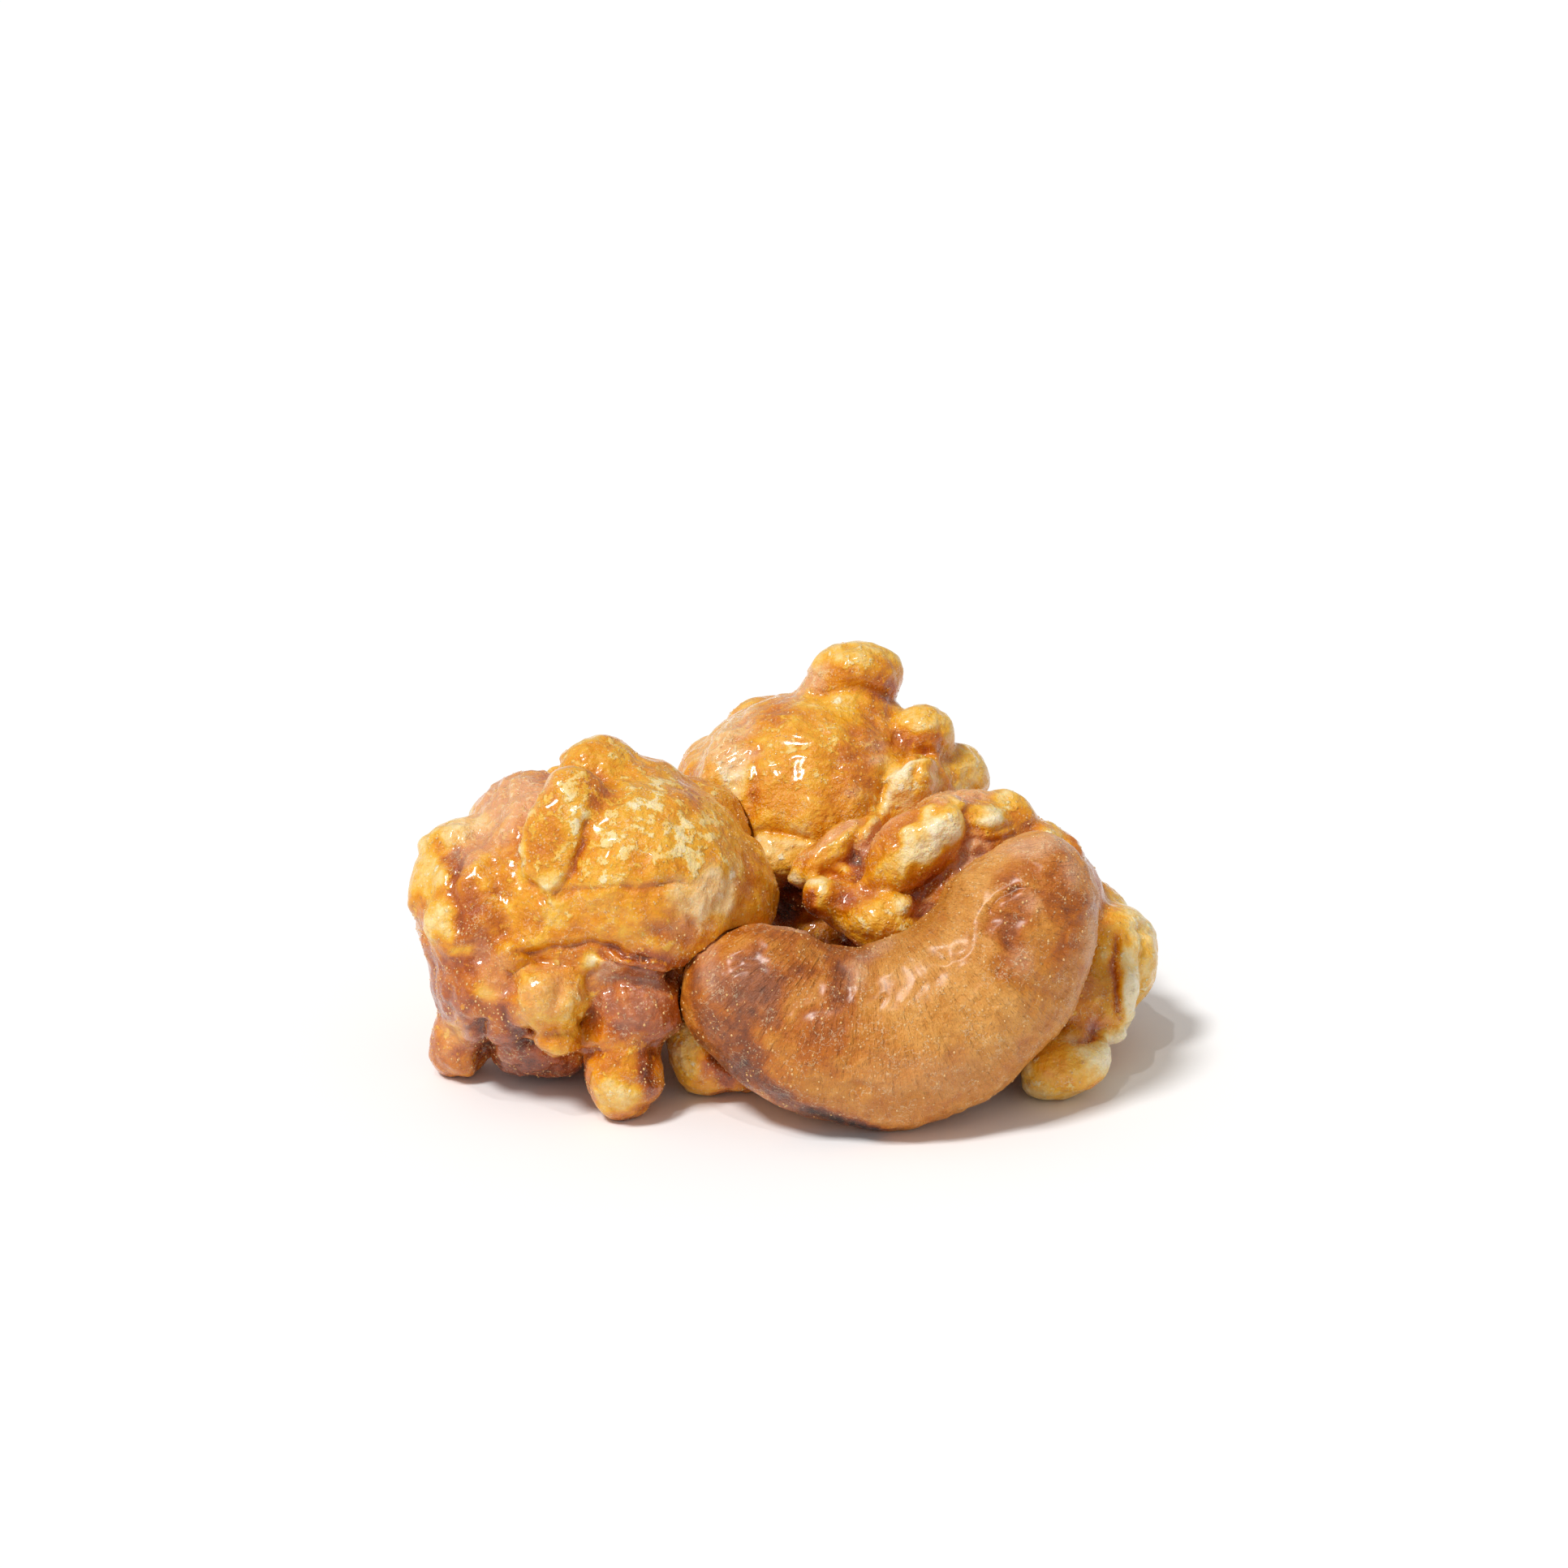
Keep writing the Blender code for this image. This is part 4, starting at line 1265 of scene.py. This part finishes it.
class HeapStageSettings(bpy.types.PropertyGroup):
    floor_width: FloatProperty(
        name="Floor Width", description="Width of the floor",
        default=4.0, unit="LENGTH", subtype="DISTANCE",
    )
    floor_colour: FloatVectorProperty(
        name="Floor Colour", description="Colour of the floor",
        default=(0.96, 0.96, 0.96, 1.0), size=4, subtype="COLOR", min=0.0, max=1.0,
    )
    sky: FloatProperty(
        name="Soft Light", description="Strength of the even light from all round",
        default=0.42, min=0.0, max=4.0,
    )
    main_light: FloatProperty(
        name="Main Light", description="Strength of the light from the upper left",
        default=2.15, min=0.0, max=20.0,
    )
    sparkle: FloatProperty(
        name="Sparkle", description="Strength of the small sharp light that makes the glints",
        default=0.3, min=0.0, max=20.0,
    )


def lay_marks(skin, normals, marks, base_coat, push, melting):
    """The coat, the painted sheen and the flakes of each point, from the marks on the side that is
    seen.
    """
    shown = seen_share(skin.points, normals)
    flakes = np.full(skin.count, BASE_FLAKES)
    layers = {"coat": base_coat, "painted_sheen": np.zeros(skin.count), "flakes": flakes}
    for name, layer in layers.items():
        for mark in marks.get(name, ()):
            strength = shown * ease(mark_reach(skin.points, mark, push), *MARK_EDGE)
            layer = layer + (mark[-1] - layer) * strength
        layers[name] = skin.evened(layer, melting)
    return layers


def raise_marks(skin, normals, marks, creases, push):
    """Heights of the bumps and creases on the side that is seen."""
    height = np.zeros(skin.count)
    for mark in marks.get("bump", ()):
        height += mark[-1] * np.exp(-BUMP_FALL * mark_reach(skin.points, mark, push) ** 2)
    for crease in creases:
        height += crease_height(skin.points, crease, push)
    return height * seen_share(skin.points, normals)


def keep_layers(skin, layers, bead_share):
    normals = skin.normals()
    near, far = hollows(skin, normals)
    skin.keep("near_hollow", np.clip(near, *HOLLOW_RANGE))
    skin.keep("far_hollow", np.clip(far, *HOLLOW_RANGE))
    for name, values in layers.items():
        skin.keep(name, values)
    skin.keep("beads", bead_share * ease(skin.points[:, 2], *BEADS_ABOVE_TABLE))


def settle(skin, neighbours):
    """Presses the skin clear of its neighbours and flat on the table."""
    for neighbour in neighbours:
        touched = press(skin, bpy.data.objects[skin_name(neighbour)])
        soft = skin.evened(skin.points, PRESSED_SOFTENING)
        share = skin.evened(touched, PRESSED_SPREAD)[:, None]
        skin.points = skin.points * (1.0 - share) + soft * share
    skin.points[:, 2] = np.maximum(skin.points[:, 2], 0.0)


def build_kernel(node, settings):
    kernel = KERNELS[node]
    lobes = kernel.lobes + rear_lobes(kernel.lobes[0], *kernel.rear)
    skin = Skin(fine_skin(ball_mesh(node, lobes), settings.grain))
    skin.points = skin.evened(skin.points, settings.softening)
    noise = Noise(kernel.seed)
    normals = skin.normals()
    push = noise.shifted(skin.points, EDGE_WANDER[0]) * EDGE_WANDER[1]
    coats = lobe_coats(skin.points, lobes)

    warped = skin.points + noise.shifted(skin.points, BULGE_WARP[0]) * BULGE_WARP[1]
    layers = lay_marks(skin, normals, kernel.marks, coats, push, MARK_MELTING)
    bulges = np.hypot(noise(warped, settings.bulge_size), BULGE_ROUNDING) - BULGE_LEVEL
    small = noise(warped + BLISTER_SHIFT, settings.bulge_size * BLISTER_SIZE)
    blisters = np.hypot(small, BLISTER_ROUNDING) - BULGE_LEVEL
    flatter = BULGE_RANGE[0] - BULGE_RANGE[1] * layers["flakes"]
    height = settings.bulge_height * (bulges + BLISTER_HEIGHT * blisters) * flatter
    height += raise_marks(skin, normals, kernel.marks, kernel.creases, push)
    wrinkles = WRINKLES[1] * (WRINKLE_LEVEL - np.abs(noise(warped, WRINKLES[0])))
    crumbs = CRUMBS[1] * noise(skin.points, CRUMBS[0])
    height += (wrinkles + crumbs) * (RELIEF_RANGE[0] + RELIEF_RANGE[1] * layers["painted_sheen"])
    skin.points += normals * height[:, None]
    skin.points = skin.evened(skin.points, 1)
    skin.points = to_world(skin.points, kernel.centre, kernel.tilt)
    settle(skin, kernel.neighbours)
    keep_layers(skin, layers, ease(layers["coat"], *BEADS_ON_COAT))
    material = corn_caramel(node + "_coat", settings)
    add_piece(skin_name(node), skin.mesh, material, (node,))


def cashew_body(settings):
    """The plain crescent that the cashew's skin is grown from."""
    values = {
        "Arc From": settings.arc_from,
        "Arc To": settings.arc_to,
        "Reach": settings.reach,
        "End Radius": settings.end_radius,
        "Waist Radius": settings.waist_radius,
        "Depth Share": settings.depth_share,
        "Arc Right": CASHEW_ARC_CENTRE[0] * MM,
        "Arc Up": CASHEW_ARC_CENTRE[1] * MM,
        "Around": CASHEW_AROUND,
        "Along": CASHEW_ALONG,
    }
    return cashew_tree().build_on(carrier_for(bpy.data.meshes.new("cashew")), values)


def cashew_flow(points):
    """How far round the arc, out from it and away each point is, for the lines in the coat."""
    away = points - np.array((CASHEW_ARC_CENTRE[0], 0.0, CASHEW_ARC_CENTRE[1]))
    turn = np.arctan2(away[:, 2], away[:, 0])
    return np.stack([turn * FLOW_TURN, np.hypot(away[:, 0], away[:, 2]), away[:, 1]], axis=1)


def build_cashew(settings, grain):
    skin = Skin(fine_skin(cashew_body(settings), grain))
    skin.points = skin.evened(skin.points, CASHEW_SOFTENING)
    noise = Noise(CASHEW_SEED)
    normals = skin.normals()
    push = noise.shifted(skin.points, CASHEW_WANDER[0]) * CASHEW_WANDER[1]
    height = settings.unevenness * noise(skin.points, CASHEW_LUMPS[0])
    height += settings.unevenness * SMALL_LUMPS * noise(skin.points, CASHEW_LUMPS[1])
    height -= CASHEW_WRINKLES[1] * np.abs(noise(skin.points + push, CASHEW_WRINKLES[0]))
    height += raise_marks(skin, normals, CASHEW_MARKS, CASHEW_CREASES, push)
    coats = np.full(skin.count, CASHEW_COAT)
    layers = lay_marks(skin, normals, CASHEW_MARKS, coats, push, CASHEW_MELTING)
    flow = cashew_flow(skin.points)
    skin.points += normals * height[:, None]
    skin.points = to_world(skin.points, CASHEW_CENTRE, CASHEW_LEAN)
    settle(skin, ())
    keep_layers(skin, layers, np.full(skin.count, CASHEW_BEADS))
    skin.keep("flow", flow)
    material = nut_caramel("cashew_coat", settings)
    add_piece(skin_name("cashew"), skin.mesh, material, ("cashew",))


class HEAP_OT_add_cashew(bpy.types.Operator):
    """Adds the cashew, a plump crescent under a smooth caramel coat"""

    bl_idname = "heap.add_cashew"
    bl_label = "Add Cashew"

    def execute(self, context):
        build_cashew(context.scene.heap_cashew, context.scene.heap_skin.grain)
        return {"FINISHED"}


class HEAP_OT_add_popcorn(bpy.types.Operator):
    """Adds the three popped kernels, each pressed against the pieces made before it"""

    bl_idname = "heap.add_popcorn"
    bl_label = "Add Popped Kernels"

    def execute(self, context):
        for node in KERNELS:
            build_kernel(node, context.scene.heap_skin)
        return {"FINISHED"}


class HEAP_OT_add_beads(bpy.types.Operator):
    """Scatters small beads of hard caramel over every piece"""

    bl_idname = "heap.add_beads"
    bl_label = "Add Caramel Beads"

    def execute(self, context):
        settings = context.scene.heap_beads
        skins = [bpy.data.objects[skin_name(node)] for node in ("cashew", *KERNELS)]
        joined = bmesh.new()
        for skin in skins:
            joined.from_mesh(skin.data)
        everything = bpy.data.meshes.new("everything")
        joined.to_mesh(everything)
        joined.free()
        material = bead_caramel("bead_coat")
        values = {
            "Density": settings.density * 10000.0,
            "Radius": settings.radius,
            "Smallest": settings.smallest,
            "Seed": settings.seed,
            "Material": material,
        }
        mesh = bead_tree().build_on(carrier_for(everything), values)
        add_piece("caramel_beads", mesh, material, ())
        return {"FINISHED"}


class HEAP_OT_set_stage(bpy.types.Operator):
    """Adds the floor, the soft lights and the camera"""

    bl_idname = "heap.set_stage"
    bl_label = "Set Stage"

    def execute(self, context):
        settings = context.scene.heap_stage
        shape = bmesh.new()
        bmesh.ops.create_grid(shape, x_segments=8, y_segments=8, size=settings.floor_width / 2.0)
        mesh = bpy.data.meshes.new("floor")
        shape.to_mesh(mesh)
        shape.free()
        mesh.materials.append(floor_paint("floor_paint", tuple(settings.floor_colour)))
        floor = bpy.data.objects.new("floor", mesh)
        context.scene.collection.objects.link(floor)
        self.add_light("main_light", *MAIN_LIGHT, settings.main_light)
        self.add_light("sparkle", *SPARKLE_LIGHT, settings.sparkle)
        self.add_sky(context, settings.sky)
        self.add_camera(context)
        return {"FINISHED"}

    def add_light(self, name, source, width, strength):
        """A light as wide as the angle in degrees, far away where the vector points."""
        lamp = bpy.data.lights.new(name, "SUN")
        lamp.angle = math.radians(width)
        lamp.energy = strength
        light = bpy.data.objects.new(name, lamp)
        light.rotation_euler = Vector(source).to_track_quat("Z", "Y").to_euler()
        bpy.context.scene.collection.objects.link(light)

    def add_sky(self, context, strength):
        world = bpy.data.worlds.new("soft_sky")
        world.use_nodes = True
        backdrop = world.node_tree.nodes["Background"]
        backdrop.inputs["Color"].default_value = WHITE
        backdrop.inputs["Strength"].default_value = strength
        context.scene.world = world

    def add_camera(self, context):
        tilt = math.radians(LOOK_TILT)
        ahead = Vector((0.0, math.cos(tilt), -math.sin(tilt)))
        film = bpy.data.cameras.new("camera")
        film.lens = LENS
        film.sensor_width = FILM_WIDTH
        film.clip_start = NEAREST_SEEN
        camera = bpy.data.objects.new("camera", film)
        camera.location = (Vector(LOOK_TARGET) - ahead * LOOK_DISTANCE) * MM
        camera.rotation_euler = ahead.to_track_quat("-Z", "Y").to_euler()
        context.scene.collection.objects.link(camera)
        context.scene.camera = camera
        context.scene.view_settings.view_transform = "Standard"


class HEAP_PT_panel(bpy.types.Panel):
    """Lists the heap's sizes and the steps that build it"""

    bl_idname = "HEAP_PT_panel"
    bl_label = "Caramel Popcorn"
    bl_space_type = "VIEW_3D"
    bl_region_type = "UI"
    bl_category = "Popcorn"

    def draw(self, context):
        steps = (
            ("heap_cashew", HEAP_OT_add_cashew),
            ("heap_skin", HEAP_OT_add_popcorn),
            ("heap_beads", HEAP_OT_add_beads),
            ("heap_stage", HEAP_OT_set_stage),
        )
        for group, step in steps:
            box = self.layout.box()
            settings = getattr(context.scene, group)
            for name in settings.__annotations__:
                box.prop(settings, name)
            box.operator(step.bl_idname)


SETTINGS = {
    "heap_skin": HeapSkinSettings,
    "heap_cashew": HeapCashewSettings,
    "heap_beads": HeapBeadSettings,
    "heap_stage": HeapStageSettings,
}
CLASSES = (
    *SETTINGS.values(),
    HEAP_OT_add_cashew,
    HEAP_OT_add_popcorn,
    HEAP_OT_add_beads,
    HEAP_OT_set_stage,
    HEAP_PT_panel,
)


def register():
    for each in CLASSES:
        bpy.utils.register_class(each)
    for name, group in SETTINGS.items():
        setattr(bpy.types.Scene, name, PointerProperty(type=group))


def unregister():
    for name in SETTINGS:
        delattr(bpy.types.Scene, name)
    for each in reversed(CLASSES):
        bpy.utils.unregister_class(each)


def clear_startup():
    """Removes what a new Blender file holds, so that only the heap is there."""
    for name in STARTUP_OBJECTS:
        if name in bpy.data.objects:
            bpy.data.objects.remove(bpy.data.objects[name], do_unlink=True)


def main():
    clear_startup()
    register()
    bpy.ops.heap.add_cashew()
    bpy.ops.heap.add_popcorn()
    bpy.ops.heap.add_beads()
    bpy.ops.heap.set_stage()


if __name__ == "__main__":
    main()
